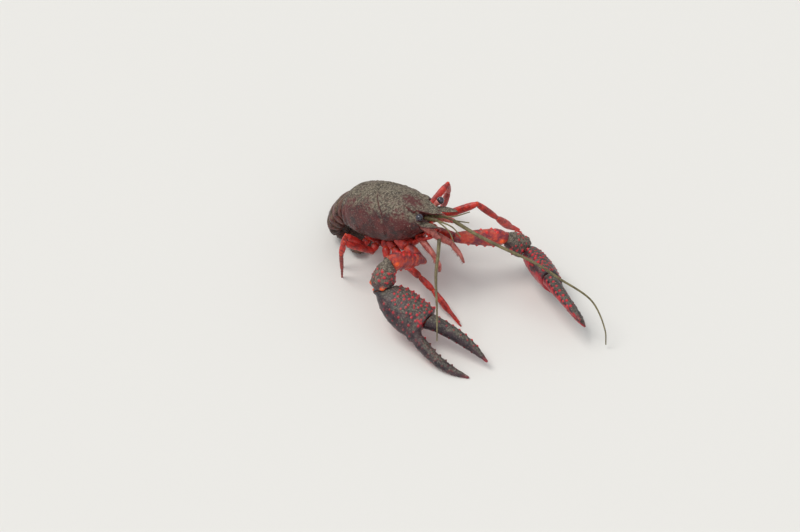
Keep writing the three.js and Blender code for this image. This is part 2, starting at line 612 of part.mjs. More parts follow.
// Eyes: a short stalk from the orbit, tipped by a dark rounded cornea.
const EYE_AT = { x: -7, y: 8, z: 1.5 };
const ORBIT_WALL = HEAD_FRONT + JOINT_GAP;
const STALK_ROOT = { x: ORBIT_WALL, y: 5.2, z: -0.6 };
Object.keys(SIDES).forEach((side) => {
  const s = SIDES[side];
  const root = vec(STALK_ROOT.x, s * STALK_ROOT.y, STALK_ROOT.z);
  const eye = vec(EYE_AT.x, s * EYE_AT.y, EYE_AT.z);
  const along = eye.clone().sub(root).normalize();
  const middle = root.clone().lerp(eye, 0.72);
  const wall = { at: root, normal: vec(1, 0, 0) };
  const stalk = limb({
    joints: [root, middle],
    profiles: [[[0, 1, 1], [0.55, 1.05, 1.05], [0.85, 1.35, 1.3], [1, 1.25, 1.2]]],
    ends: [wall, { at: middle.clone().addScaledVector(along, -JOINT_GAP / 2), normal: along }],
    sides: 10,
  });
  addPart(`eyestalk_${side}`, stalk.translate(-root.x, -root.y, -root.z), ROSE, body, root);
  const cornea = limb({
    joints: [middle, eye.clone().addScaledVector(along, 1.5)],
    profiles: [[[0, 1.35, 1.3], [0.2, 1.62, 1.58], [0.5, 1.65, 1.62], [0.75, 1.3, 1.28], [0.93, 0.7, 0.7]]],
    ends: [{ at: middle.clone().addScaledVector(along, JOINT_GAP / 2), normal: along }, null],
    sides: 12,
  });
  addPart(`eye_${side}`, cornea.translate(-middle.x, -middle.y, -middle.z), EYE, body, middle);
});

// Feelers. Antennule: two short whips on a stem. Antenna: stout stem, leaf-like scale, long whip.
const ANTENNULE_ROOT = { x: ORBIT_WALL, y: 1.5, z: -2.6 };
const ANTENNA_ROOT = { x: ORBIT_WALL, y: 4.6, z: -5 };
const FEELERS = {
  right: {
    stem: [bodyPoint(-4.2, -5.2, -6.6), vec(2.9, -5.2, 33.4)],
    whip: [vec(6.4, -10.7, 30), vec(9.8, -17, 27), vec(14.8, -23.9, 23.4), vec(20.4, -31.1, 20),
      vec(27.7, -41.2, 13.4)],
    short: [vec(7.5, -1.6, 40.6), vec(13.5, -3.6, 39.6)],
    shorter: [vec(7, -3.2, 38.8), vec(11.5, -6, 36.8)],
  },
  left: {
    stem: [bodyPoint(-4.2, 5.2, -6.2), vec(3.2, 6, 36.2)],
    whip: [vec(15, 5.4, 35.4), vec(28.8, 7.3, 33), vec(44, 10.3, 30), vec(56.4, 11.9, 26),
      vec(71.6, 15.1, 18.4), vec(81.3, 11.6, 9), vec(83.2, 10, 2.2)],
    short: [vec(4.9, 3.3, 42), vec(9.6, 9, 43)],
    shorter: [vec(5.2, 3.4, 39.6), vec(11, 6.6, 39)],
  },
};

// Round whip along a smooth curve, tapering from its first to its last radius.
function whip(points, thick, thin, sides, count) {
  const curve = new THREE.CatmullRomCurve3(points, false, 'centripetal');
  const rings = [];
  for (let k = 0; k <= count; k += 1) {
    const t = k / count;
    const centre = curve.getPointAt(t);
    const along = curve.getTangentAt(t);
    const side = new THREE.Vector3().crossVectors(UP, along).normalize();
    const top = new THREE.Vector3().crossVectors(along, side);
    const r = thick + (thin - thick) * t;
    rings.push(section(sides, r, r, r).map(([a, b]) =>
      centre.clone().addScaledVector(side, a).addScaledVector(top, b)));
  }
  return skin(rings);
}

Object.keys(SIDES).forEach((side) => {
  const s = SIDES[side];
  const { stem, whip: path, short, shorter } = FEELERS[side];
  const forward = vec(1, 0, 0).transformDirection(body.matrix);
  const rootA = bodyPoint(ANTENNULE_ROOT.x, s * ANTENNULE_ROOT.y, ANTENNULE_ROOT.z);
  const fork = bodyPoint(-2.6, s * 1.7, -2.8);
  const antennule = fuse(
    limb({
      joints: [rootA, fork],
      profiles: [[[0, 0.95, 1], [0.35, 1, 1.1], [0.42, 0.85, 0.9], [0.8, 0.9, 0.9], [1, 0.7, 0.7]]],
      ends: [{ at: rootA, normal: forward }, null],
    }),
    whip([fork.clone().addScaledVector(forward, -0.8), ...short], 0.42, 0.25, 6, 9),
    whip([fork.clone().addScaledVector(forward, -0.8), ...shorter], 0.38, 0.25, 6, 8),
  );
  addPart(`antennule_${side}`, antennule.translate(-rootA.x, -rootA.y, -rootA.z), OLIVE, stance, rootA);
  const root = bodyPoint(ANTENNA_ROOT.x, s * ANTENNA_ROOT.y, ANTENNA_ROOT.z);
  const faces = jointFaces(stem[0], stem[1], path[0]);
  const base = limb({
    joints: [root, ...stem],
    profiles: [
      [[0, 1.7, 1.8], [0.5, 1.8, 1.9], [0.85, 1.6, 1.7], [1, 1.4, 1.45]],
      [[0.25, 1.35, 1.4], [0.5, 1.3, 1.35], [0.58, 1.1, 1.15], [0.9, 1.1, 1.1], [1, 0.9, 0.9]],
    ],
    ends: [{ at: root, normal: forward }, faces[0]],
  });
  addPart(`antenna_base_${side}`, base.translate(-root.x, -root.y, -root.z), OLIVE, stance, root);
  const lash = whip([faces[1].at, ...path], 0.85, 0.26, 7, side === 'left' ? 30 : 20);
  addPart(`antenna_${side}`, lash.translate(-stem[1].x, -stem[1].y, -stem[1].z), OLIVE, stance, stem[1]);
  const scaleRoot = vec(ORBIT_WALL, s * 6.9, -2.6);
  const blade = alongX([0, 2, 5, 8, 10, 11.6].map((x) => ({
    x,
    y: s * x * 0.03,
    shape: section(8, through([0, 0.9], [3, 1.9], [7, 1.8], [10, 0.8], [11.6, 0.25])(x),
      through([0, 0.7], [5, 0.6], [11.6, 0.25])(x), through([0, 0.7], [5, 0.6], [11.6, 0.25])(x)),
  })));
  addPart(`antennal_scale_${side}`, blade, SILT, body, scaleRoot);
});

// Abdomen: six arched rings curling down, aside to the right, and forward under the trunk, each
// with its front edge stepped in so that the plates look sleeved, then the tail fan.
const RING_LENGTH = 6.1;
const RING_PITCH = [19, 49, 58, 71, 101, 138, 172];
const RING_YAW = [0, 6, 12, 16, 18, 18, 18];
const RING_HALF = [10, 10.2, 10, 9.6, 9, 8, 6.4];
const RING_HEIGHT = [10.6, 10.2, 9.8, 9.2, 7.9, 6.5, 4.8];
const PLEURA_DROP = [0, 1.4, 1.8, 1.8, 1.6, 1.2, 0.6];
const ABDOMEN_START = bodyPoint(REAR_EDGE - JOINT_GAP, 0, 2.4);

// Axes of the tail at boundary b (fractions allowed): origin on the top line, facing forward.
function tailFrame(b) {
  const mix = (list, f) => {
    const here = list[Math.floor(f)];
    const next = list[Math.min(Math.floor(f) + 1, list.length - 1)];
    return here + (next - here) * (f % 1);
  };
  const axes = (f) => {
    const pitch = -THREE.MathUtils.degToRad(mix(RING_PITCH, f));
    const yaw = THREE.MathUtils.degToRad(mix(RING_YAW, f));
    return new THREE.Matrix4().makeRotationFromEuler(new THREE.Euler(BODY_ROLL, pitch, yaw, 'ZYX'));
  };
  const origin = ABDOMEN_START.clone();
  const step = 0.25;
  for (let f = 0; f < b - 1e-6; f += step) {
    const back = vec(-1, 0, 0).transformDirection(axes(f + step / 2));
    origin.addScaledVector(back, RING_LENGTH * Math.min(step, b - f));
  }
  return { matrix: axes(b).setPosition(origin), mix };
}

function abdomenSection(b, grow) {
  const { mix } = tailFrame(b);
  const half = mix(RING_HALF, b) * grow;
  const height = mix(RING_HEIGHT, b);
  const middle = height * 0.55;
  const drop = mix(PLEURA_DROP, b);
  return section(20, half, middle * grow, height - middle, 2.2).map(([a, c]) => {
    const edge = c < 0 && Math.abs(a) > half * 0.62 ? drop : 0;
    return [a, c - middle - edge];
  });
}

for (let n = 0; n < 6; n += 1) {
  const shares = [[0, 0.9], [0.2, 0.92], [0.27, 0.99], [0.6, 1.01], [0.93, 1], [1, 0.97]];
  const trim = JOINT_GAP / 4;
  const rings = shares.map(([share, grow]) => {
    const b = n + (n > 0 ? trim / 2 : 0) + share * (1 - trim);
    const { matrix } = tailFrame(Math.min(b, 5.999));
    return abdomenSection(Math.min(b, 5.999), grow).map(([a, c]) => vec(0, a, c).applyMatrix4(matrix));
  });
  const origin = vec(0, 0, 0).setFromMatrixPosition(tailFrame(n).matrix);
  const ring = skin(rings);
  addPart(`abdomen_${n + 1}`, ring.translate(-origin.x, -origin.y, -origin.z), DARK_RED, stance, origin);
}

// Tail fan: the telson and on each side a uropod of two overlapping leaves on one short stem.
const tail = new THREE.Group();
tail.name = 'tail_fan';
tail.matrixAutoUpdate = false;
tail.matrix.copy(tailFrame(5.999).matrix);
stance.add(tail);

function leaf(length, half, thick, start = 0.4) {
  const rows = [0, 0.12, 0.4, 0.7, 0.88, 0.97, 1];
  const breadth = through([0, start], [0.4, 0.95], [0.7, 1], [0.88, 0.8], [1, 0.3]);
  return alongX(rows.map((f) => ({
    x: -f * length,
    shape: section(10, half * breadth(f), thick, thick, 2.4),
  })));
}

const TELSON_AT = vec(-JOINT_GAP, 0, -2.6);
addPart('telson', leaf(12.5, 4.6, 0.65, 0.85), DARK_RED, tail, TELSON_AT);
Object.keys(SIDES).forEach((side) => {
  const s = SIDES[side];
  const turned = (geometry, angle, y, z) => geometry.rotateZ(angle).translate(0, y, z);
  const pair = fuse(
    turned(leaf(12, 3.2, 0.6), -s * 0.3, 0, 0),
    turned(leaf(12, 3.6, 0.6), -s * 0.75, 0, -0.5),
  );
  addPart(`uropod_${side}`, pair, DARK_RED, tail, vec(-1.3, s * 4.6, -4.3));
});

export default crayfish;
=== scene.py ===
import bpy
import numpy as np
from mathutils import Matrix, Vector


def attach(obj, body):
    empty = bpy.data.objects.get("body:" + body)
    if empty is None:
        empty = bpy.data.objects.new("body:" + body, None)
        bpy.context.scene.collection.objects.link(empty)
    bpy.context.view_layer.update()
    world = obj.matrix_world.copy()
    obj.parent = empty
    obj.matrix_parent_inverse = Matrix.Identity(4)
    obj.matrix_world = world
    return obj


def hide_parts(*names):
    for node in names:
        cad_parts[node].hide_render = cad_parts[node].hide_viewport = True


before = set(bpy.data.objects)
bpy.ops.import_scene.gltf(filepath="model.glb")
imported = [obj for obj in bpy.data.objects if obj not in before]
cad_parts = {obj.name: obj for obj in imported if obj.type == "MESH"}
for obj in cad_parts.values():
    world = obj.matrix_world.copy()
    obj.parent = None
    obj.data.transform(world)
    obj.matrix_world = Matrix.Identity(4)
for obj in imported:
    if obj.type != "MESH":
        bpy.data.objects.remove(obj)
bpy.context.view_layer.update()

# The studio: a pale level floor under a bright even sky, one broad soft light from above on the
# left, a weaker one in front, and the camera that looks 44 degrees down on the right front.
LOOK_AT = Vector((-0.024245, -0.014685, 0.01306))
CAMERA_AT = Vector((0.525395, -0.771285, 0.91617))
CAMERA_LENS = 130.0
SENSOR_WIDTH = 36.0
NEAREST = 0.05
FARTHEST = 30.0
FLOOR_HALF = 4.0
FLOOR_DROP = 0.00005
FLOOR_COLOUR = (0.74, 0.73, 0.70, 1)
FLOOR_ROUGHNESS = 0.75
SKY_COLOUR = (0.95, 0.97, 1.0, 1)
SKY_STRENGTH = 0.6

camera_data = bpy.data.cameras.new("camera")
camera_data.lens = CAMERA_LENS
camera_data.sensor_width = SENSOR_WIDTH
camera_data.clip_start = NEAREST
camera_data.clip_end = FARTHEST
camera = bpy.data.objects.new("camera", camera_data)
camera.location = CAMERA_AT
camera.rotation_mode = "QUATERNION"
camera.rotation_quaternion = (LOOK_AT - CAMERA_AT).to_track_quat("-Z", "Y")
bpy.context.scene.collection.objects.link(camera)
bpy.context.scene.camera = camera
bpy.context.scene.view_settings.view_transform = "Standard"


def soft_light(name, towards, spread_angle, strength, colour):
    """A broad distant light that comes from the direction `towards`, spread_angle degrees wide."""
    data = bpy.data.lights.new(name, "SUN")
    data.angle = np.radians(spread_angle)
    data.energy = strength
    data.color = colour
    light = bpy.data.objects.new(name, data)
    light.rotation_mode = "QUATERNION"
    light.rotation_quaternion = Vector(towards).to_track_quat("Z", "Y")
    bpy.context.scene.collection.objects.link(light)


def new_material(name):
    """A fresh material, with its node tree and the shader in it."""
    material = bpy.data.materials.new(name)
    material.use_nodes = True
    return material, material.node_tree, material.node_tree.nodes["Principled BSDF"]


soft_light("upper_light", (-0.45, -0.25, 1.0), 32.0, 1.75, (1.0, 0.98, 0.94))
soft_light("front_light", (0.8, -0.5, 0.45), 55.0, 0.45, (1.0, 0.97, 0.94))

world = bpy.data.worlds.new("studio_air")
world.use_nodes = True
world.node_tree.nodes["Background"].inputs["Color"].default_value = SKY_COLOUR
world.node_tree.nodes["Background"].inputs["Strength"].default_value = SKY_STRENGTH
bpy.context.scene.world = world

floor_mesh = bpy.data.meshes.new("floor")
corners = FLOOR_HALF * np.array([[-1, -1, 0], [1, -1, 0], [1, 1, 0], [-1, 1, 0]], float)
corners[:, 2] = -FLOOR_DROP
floor_mesh.from_pydata(corners.tolist(), [], [[0, 1, 2, 3]])
floor = bpy.data.objects.new("floor", floor_mesh)
bpy.context.scene.collection.objects.link(floor)
floor_paint, _, floor_shader = new_material("floor_paint")
floor_shader.inputs["Base Color"].default_value = FLOOR_COLOUR
floor_shader.inputs["Roughness"].default_value = FLOOR_ROUGHNESS
floor_mesh.materials.append(floor_paint)


# Shell finishes. The back is dusted with grey-brown silt wherever it faces up, the flanks are dark
# wine red, tubercles are crimson and joint skins pale rose; all are satin and finely pitted.
GREY = (0.5, 0.5, 0.5, 1)
BLACK_MUD = (0.035, 0.028, 0.022, 1)
PALE_SAND = (0.52, 0.46, 0.38, 1)
PATCH_CELLS = 260.0
CRUMB_CELLS = 1050.0
SAND_CELLS = 2100.0
PIT_CELLS = 1400.0
GRAIN_CELLS = 3200.0
GRAIN_HEIGHT = 0.00025
GRAIN_STRENGTH = 0.35
FILM_ROUGHNESS = 0.85
KNOB_CLEANNESS = 0.85


def tint(red, green, blue):
    """A colour read as 0 to 255, made linear: ((c + 0.055) / 1.055) ^ 2.4 above the toe."""
    c = np.array([red, green, blue]) / 255
    c = np.where(c <= 0.04045, c / 12.92, ((c + 0.055) / 1.055) ** 2.4)
    return (*c.tolist(), 1.0)


def new_group(name, entries, exits):
    """An empty shader group. Each socket's name comes with a sample value, a number or a colour.
    Returns its tree, what it is given and what it gives back."""
    tree = bpy.data.node_groups.new(name, "ShaderNodeTree")
    for way, sockets in (("INPUT", entries), ("OUTPUT", exits)):
        for label, value in sockets.items():
            kind = "NodeSocketFloat" if isinstance(value, float) else "NodeSocketColor"
            tree.interface.new_socket(label, in_out=way, socket_type=kind).default_value = value
    return tree, tree.nodes.new("NodeGroupInput").outputs, tree.nodes.new("NodeGroupOutput").inputs


def put(tree, kind, settings=None, **sockets):
    """Adds a node to a tree; settings are its own properties, sockets are values or links by name."""
    node = tree.nodes.new(kind)
    for label, value in (settings or {}).items():
        setattr(node, label, value)
    for label, value in sockets.items():
        key = int(label[1:]) if label[0] == "n" and label[1:].isdigit() else label.replace("_", " ")
        if isinstance(value, bpy.types.NodeSocket):
            tree.links.new(value, node.inputs[key])
        else:
            node.inputs[key].default_value = value
    return node


def maths(tree, operation, *values):
    """The result of a math node over up to three values or links."""
    sockets = {f"n{place}": value for place, value in enumerate(values)}
    return put(tree, "ShaderNodeMath", {"operation": operation}, **sockets).outputs[0]


def noise(tree, scale, detail=4.0, rough=0.55, warp=0.0):
    """Noise over the object's own coordinates, `scale` in cells a metre."""
    place = put(tree, "ShaderNodeTexCoord").outputs["Object"]
    return put(tree, "ShaderNodeTexNoise", Vector=place, Scale=scale, Detail=detail, Roughness=rough,
               Distortion=warp).outputs["Fac"]


def cell_distance(tree, scale, unevenness):
    """Distance to the nearest of points strewn over the object, `scale` of them a metre."""
    place = put(tree, "ShaderNodeTexCoord").outputs["Object"]
    return put(tree, "ShaderNodeTexVoronoi", {"feature": "F1"}, Vector=place, Scale=scale,
               Randomness=unevenness).outputs["Distance"]


def spread(tree, value, low, high):
    """A value stretched so that low becomes 0 and high becomes 1, held between them."""
    return put(tree, "ShaderNodeMapRange", {"interpolation_type": "SMOOTHSTEP"}, Value=value,
               From_Min=low, From_Max=high).outputs["Result"]


def blend_colour(tree, share, one, other):
    """One colour turning into the other as share goes from 0 to 1."""
    node = put(tree, "ShaderNodeMix", {"data_type": "RGBA"}, n0=share, n6=one, n7=other)
    return node.outputs[2]


MOTTLE, given, result = new_group(
    "shell_mottle", {"Dark": GREY, "Main": GREY, "Pale": GREY, "Cells": 160.0}, {"Color": GREY})
broad = spread(MOTTLE, noise(MOTTLE, given["Cells"], 5.0, 0.6, 0.6), 0.38, 0.62)
fine_cells = maths(MOTTLE, "MULTIPLY", given["Cells"], 5.0)
fine = spread(MOTTLE, noise(MOTTLE, fine_cells, 5.0, 0.65), 0.52, 0.72)
mixed = blend_colour(MOTTLE, broad, given["Dark"], given["Main"])
mixed = blend_colour(MOTTLE, maths(MOTTLE, "MULTIPLY", fine, 0.55), mixed, given["Pale"])
MOTTLE.links.new(mixed, result["Color"])

SILT, given, result = new_group(
    "silt_film", {"Color": GREY, "Silt": GREY, "Amount": 0.8, "Low": 0.25, "High": 0.8},
    {"Color": GREY, "Film": 0.0})
facing = SILT.nodes.new("ShaderNodeNewGeometry").outputs["Normal"]
upward = put(SILT, "ShaderNodeSeparateXYZ", Vector=facing).outputs["Z"]
patches = maths(SILT, "MULTIPLY_ADD", noise(SILT, PATCH_CELLS, 6.0, 0.65), 1.5, -0.75)
settled = spread(SILT, maths(SILT, "ADD", upward, patches), given["Low"], given["High"])
sand = spread(SILT, noise(SILT, SAND_CELLS, 2.0, 0.5), 0.62, 0.70)
film = maths(SILT, "MAXIMUM", settled, maths(SILT, "MULTIPLY", sand, 0.5))
film = maths(SILT, "MULTIPLY", film, given["Amount"])
crumbs = spread(SILT, noise(SILT, CRUMB_CELLS, 3.0, 0.6), 0.42, 0.58)
mud = blend_colour(SILT, 0.8, given["Silt"], BLACK_MUD)
mud = blend_colour(SILT, crumbs, mud, given["Silt"])
mud = blend_colour(SILT, maths(SILT, "MULTIPLY", sand, 0.8), mud, PALE_SAND)
SILT.links.new(blend_colour(SILT, film, given["Color"], mud), result["Color"])
SILT.links.new(film, result["Film"])

GRAIN, _, result = new_group("pitted_grain", {}, {"Height": 0.0})
pits = spread(GRAIN, cell_distance(GRAIN, PIT_CELLS, 1.0), 0.0, 0.35)
rough_grain = maths(GRAIN, "MULTIPLY", noise(GRAIN, GRAIN_CELLS, 4.0, 0.7), 0.5)
GRAIN.links.new(maths(GRAIN, "MULTIPLY_ADD", pits, 0.7, rough_grain), result["Height"])


def shell_finish(name, dark, main, pale, knob, joint, silt, amount, low, high, cells, gloss=0.36):
    """Satin shell: mottle, then crimson knobs and rose joint skin where the piece's own attributes
    say so, then the silt film over all; the film is dull and the bare shell has a soft gloss."""
    material, tree, shader = new_material(name)
    knobs, joints = (put(tree, "ShaderNodeAttribute", {"attribute_name": label}).outputs["Fac"]
                     for label in ("knob", "joint"))
    colour = put(tree, "ShaderNodeGroup", {"node_tree": MOTTLE}, Dark=tint(*dark), Main=tint(*main),
                 Pale=tint(*pale), Cells=cells).outputs["Color"]
    colour = blend_colour(tree, knobs, colour, tint(*knob))
    colour = blend_colour(tree, joints, colour, tint(*joint))
    covered = maths(tree, "MULTIPLY_ADD", knobs, -KNOB_CLEANNESS * amount, amount)
    film = put(tree, "ShaderNodeGroup", {"node_tree": SILT}, Color=colour, Silt=tint(*silt),
               Amount=covered, Low=low, High=high)
    dull = put(tree, "ShaderNodeMapRange", Value=film.outputs["Film"], To_Min=gloss,
               To_Max=FILM_ROUGHNESS)
    grain = put(tree, "ShaderNodeGroup", {"node_tree": GRAIN}).outputs["Height"]
    bump = put(tree, "ShaderNodeBump", Strength=GRAIN_STRENGTH, Distance=GRAIN_HEIGHT, Height=grain)
    tree.links.new(film.outputs["Color"], shader.inputs["Base Color"])
    tree.links.new(dull.outputs["Result"], shader.inputs["Roughness"])
    tree.links.new(bump.outputs["Normal"], shader.inputs["Normal"])
    return material


CRIMSON = (206, 26, 44)
ROSE_SKIN = (205, 120, 100)
ORANGE = (240, 88, 26)
DARK_KNOB = (80, 18, 20)
back_finish = shell_finish("silted_back_shell", (44, 18, 20), (86, 30, 30), (132, 66, 56), DARK_KNOB,
                           ROSE_SKIN, (126, 118, 100), 0.88, 0.34, 0.86, 150.0)
tail_finish = shell_finish("tail_shell", (44, 18, 16), (90, 34, 28), (138, 96, 62), (150, 60, 48),
                           ROSE_SKIN, (118, 108, 78), 0.6, 0.5, 1.2, 190.0)
claw_finish = shell_finish("claw_shell", (34, 26, 34), (66, 46, 52), (104, 62, 62), CRIMSON,
                           ORANGE, (106, 104, 90), 0.68, 0.5, 1.08, 170.0)
wrist_finish = shell_finish("wrist_shell", (40, 28, 32), (76, 48, 50), (112, 70, 66), CRIMSON,
                            ORANGE, (122, 114, 98), 0.85, 0.12, 0.75, 170.0)
arm_finish = shell_finish("arm_shell", (112, 30, 52), (196, 58, 40), (238, 134, 66), (220, 40, 36),
                          ORANGE, (136, 116, 98), 0.35, 0.6, 1.25, 200.0)
leg_finish = shell_finish("leg_shell", (134, 30, 30), (202, 46, 36), (236, 104, 62), (92, 32, 30),
                          ORANGE, (136, 112, 96), 0.25, 0.65, 1.35, 260.0)
rose_finish = shell_finish("mouth_shell", (140, 62, 58), (194, 106, 96), (230, 172, 150),
                           (214, 120, 92), ROSE_SKIN, (128, 106, 92), 0.3, 0.6, 1.3, 260.0)
feeler_finish = shell_finish("feeler_skin", (84, 74, 46), (116, 108, 70), (158, 140, 96),
                             (150, 84, 60), ROSE_SKIN, (128, 112, 92), 0.3, 0.5, 1.2, 320.0, 0.5)


# Carapace: one arched shield over head and trunk, drawn out in front into the rostrum, with a swept
# groove across it, two fine lines down the middle of the back and a rolled rear rim. Hard shell,
# granular on the flanks.
MM = 0.001
MIDDLE = np.array([10.785, 2.585, 0.0])
ROSTRUM_TIP = np.array([0.7, 0.9, 43.0])
TRUNK_ROLL = -4.0
TRUNK_PITCH = 19.0
UP = np.array([0.0, 0.0, 1.0])
SIDES = {"right": -1, "left": 1}
GAP = 0.3
HEAD_FRONT = -10.0
REAR_EDGE = -52.0
TRUNK_MIDDLE = -5.0
TRUNK_SQUARE = 2.3
GROOVE_AT = -31.0
GROOVE_WIDTH = 0.75
GROOVE_SHARE = 0.055
LINE_DEPTH = 0.3
RIM_DEPTH = 0.32
SEAM_DEPTH = 0.25
ORBIT_ROOM = 2.35
EYE_AT = np.array([-7.0, 8.0, 1.5])
BARE_PATCH = np.array([-15.5, -1.2])
SHELL_VOXEL = 0.3
GRANULES = 420
DIMPLES = 150


def turned(roll, pitch, yaw):
    """Axes after a roll about x, then nose up by pitch, then a yaw about z, in degrees."""
    return np.array(Matrix.Rotation(np.radians(yaw), 3, "Z") @ Matrix.Rotation(np.radians(-pitch), 3, "Y")
                    @ Matrix.Rotation(np.radians(roll), 3, "X"))


def through(*knots):
    """Smooth value through (place, value) knots: a cubic between two knots, its slope at a knot
    taken between the knots on either side; level beyond the ends."""
    x, y = np.array(knots, float).T
    j = np.arange(len(x))
    before, after = np.maximum(j - 1, 0), np.minimum(j + 1, len(x) - 1)
    slope = (y[after] - y[before]) / (x[after] - x[before])

    def value(at):
        at = np.clip(np.asarray(at, float), x[0], x[-1])
        i = np.clip(np.searchsorted(x, at, side="right") - 1, 0, len(x) - 2)
        h = x[i + 1] - x[i]
        t = (at - x[i]) / h
        rise = y[i + 1] - y[i]
        m0, m1 = slope[i] * h, slope[i + 1] * h
        return y[i] + t * m0 + t**2 * (3 * rise - 2 * m0 - m1) + t**3 * (m0 + m1 - 2 * rise)

    return value


def ramp(value, start, width):
    """0 up to start, 1 from start + width on, straight between; a negative width runs downwards."""
    return np.clip((value - start) / width, 0, 1)


def ridge(distance, width):
    """A bell across a line: exp(-(distance / width)^2)."""
    return np.exp(-((distance / width) ** 2))


def oval(around, half, up, down=None, square=2.0):
    """Across and up, one row a station, on |across / half|^n + |up / height|^n = 1."""
    angle = 2 * np.pi * (np.arange(around) + 0.5) / around
    c, s = np.cos(angle), np.sin(angle)
    half, up, down = (np.atleast_1d(v)[:, None] for v in (half, up, up if down is None else down))
    bend = 2 / square
    return half * np.sign(c) * abs(c) ** bend, np.where(s > 0, up, down) * np.sign(s) * abs(s) ** bend


def sections(x, across, up):
    """Rings from stations x and what `oval` gives."""
    return np.stack([np.broadcast_to(np.atleast_2d(x).T, across.shape), across, up], -1)


def closed_skin(rings, cap=4):
    """Points and faces through rings (row, around, xyz): quads between neighbours, each end ring
    drawn to its middle in `cap` more rings and closed by a pole. Faces point outwards."""
    first, last = rings[0], rings[-1]
    share = (np.arange(cap, 0, -1) / (cap + 1))[:, None, None]
    caps = [ring.mean(0) + (ring - ring.mean(0)) * s for ring, s in ((first, share[::-1]), (last, share))]
    rings = np.concatenate([caps[0], rings, caps[1]])
    rows, around = rings.shape[:2]
    points = np.concatenate([rings.reshape(-1, 3), [first.mean(0), last.mean(0)]])
    r, k = np.meshgrid(np.arange(rows - 1), np.arange(around), indexing="ij")
    a, b = r * around + k, r * around + (k + 1) % around
    quads = np.stack([a, b, b + around, a + around], -1).reshape(-1, 4)
    k = np.arange(around)
    n, tail, pole = (k + 1) % around, (rows - 1) * around, rows * around
    tris = np.concatenate([np.stack([k * 0 + pole, n, k], -1),
                           np.stack([k * 0 + pole + 1, tail + k, tail + n], -1)])
    p, q = points[quads], points[tris]
    volume = (p[:, 0] * np.cross(p[:, 1], p[:, 2]) + p[:, 0] * np.cross(p[:, 2], p[:, 3])).sum()
    volume += (q[:, 0] * np.cross(q[:, 1], q[:, 2])).sum()
    if volume < 0:
        quads, tris = quads[:, ::-1], tris[:, ::-1]
    return points, quads, tris


def piece_of(name, *skins):
    """One object, still in millimetres, of one or more closed skins."""
    points, faces, count = [], [], 0
    for spots, quads, tris in skins:
        points.append(spots)
        faces += (quads + count).tolist() + (tris + count).tolist()
        count += len(spots)
    mesh = bpy.data.meshes.new(name)
    mesh.from_pydata(np.concatenate(points).tolist(), [], faces)
    piece = bpy.data.objects.new(name, mesh)
    bpy.context.scene.collection.objects.link(piece)
    return piece


def one_body(piece, voxel, smooth=4):
    """Overlapping skins of a piece made one closed body in cells of `voxel`, then relaxed a little."""
    join = piece.modifiers.new("join", "REMESH")
    join.mode = "VOXEL"
    join.voxel_size = voxel
    relax = piece.modifiers.new("relax", "SMOOTH")
    relax.iterations = smooth
    relax.factor = 0.5
    shown = piece.evaluated_get(bpy.context.evaluated_depsgraph_get())
    mesh = bpy.data.meshes.new_from_object(shown)
    piece.modifiers.clear()
    piece.data = mesh
    return piece


def points_of(piece):
    spots = np.empty(len(piece.data.vertices) * 3)
    piece.data.vertices.foreach_get("co", spots)
    return spots.reshape(-1, 3)


def move_points(piece, spots):
    piece.data.vertices.foreach_set("co", spots.ravel())
    piece.data.update()


def raise_skin(piece, height):
    """Every point moved along its own outward normal by its height in millimetres."""
    normals = np.empty(len(piece.data.vertices) * 3)
    piece.data.vertex_normals.foreach_get("vector", normals)
    move_points(piece, points_of(piece) + normals.reshape(-1, 3) * np.asarray(height)[:, None])


def mark(piece, label, values):
    """A number from 0 to 1 at every point, which the finish reads by its label."""
    layer = piece.data.attributes.new(label, "FLOAT", "POINT")
    layer.data.foreach_set("value", np.clip(values, 0, 1).astype(np.float32))


def bumps(spots, seats, radius, height, sharp=1.5):
    """Highest over the seats of height * (1 - d / radius)^sharp, d the distance from the seat, and
    the same without height and power as a mask."""
    lift, mask = np.zeros(len(spots)), np.zeros(len(spots))
    radius, height = np.broadcast_to(radius, len(seats)), np.broadcast_to(height, len(seats))
    for seat, wide, tall in zip(seats, radius, height):
        near = np.clip(1 - np.linalg.norm(spots - seat, axis=1) / wide, 0, 1)
        lift = np.maximum(lift, tall * near**sharp)
        mask = np.maximum(mask, near)
    return lift, mask


def freckles(spots, seed, amount=0.05, size=1.1):
    """Low swellings: the sum of three waves across the piece in fixed random directions."""
    draw = np.random.default_rng(seed)
    ways = draw.normal(size=(3, 3))
    ways *= (2 * np.pi / size / np.linalg.norm(ways, axis=1))[:, None]
    return amount * np.sin(spots @ ways.T + draw.uniform(0, 6.28, 3)).sum(1) / 3


def dress(piece, finish, node):
    """The finished piece: moved so that the stance's middle is the origin, in metres, smooth, in
    its finish, and standing for its solid."""
    move_points(piece, points_of(piece) - MIDDLE)
    piece.data.transform(Matrix.Scale(MM, 4))
    piece.data.shade_smooth()
    for label in ("knob", "joint"):
        if label not in piece.data.attributes:
            mark(piece, label, np.zeros(len(piece.data.vertices)))
    piece.data.materials.clear()
    piece.data.materials.append(finish)
    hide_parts(node)
    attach(piece, "root")


TRUNK_AXES = turned(TRUNK_ROLL, TRUNK_PITCH, 0)


def on_trunk(spots):
    """Points in the trunk's own axes (x back from the rostrum tip is negative) put in the stance."""
    return np.asarray(spots, float) @ TRUNK_AXES.T + ROSTRUM_TIP


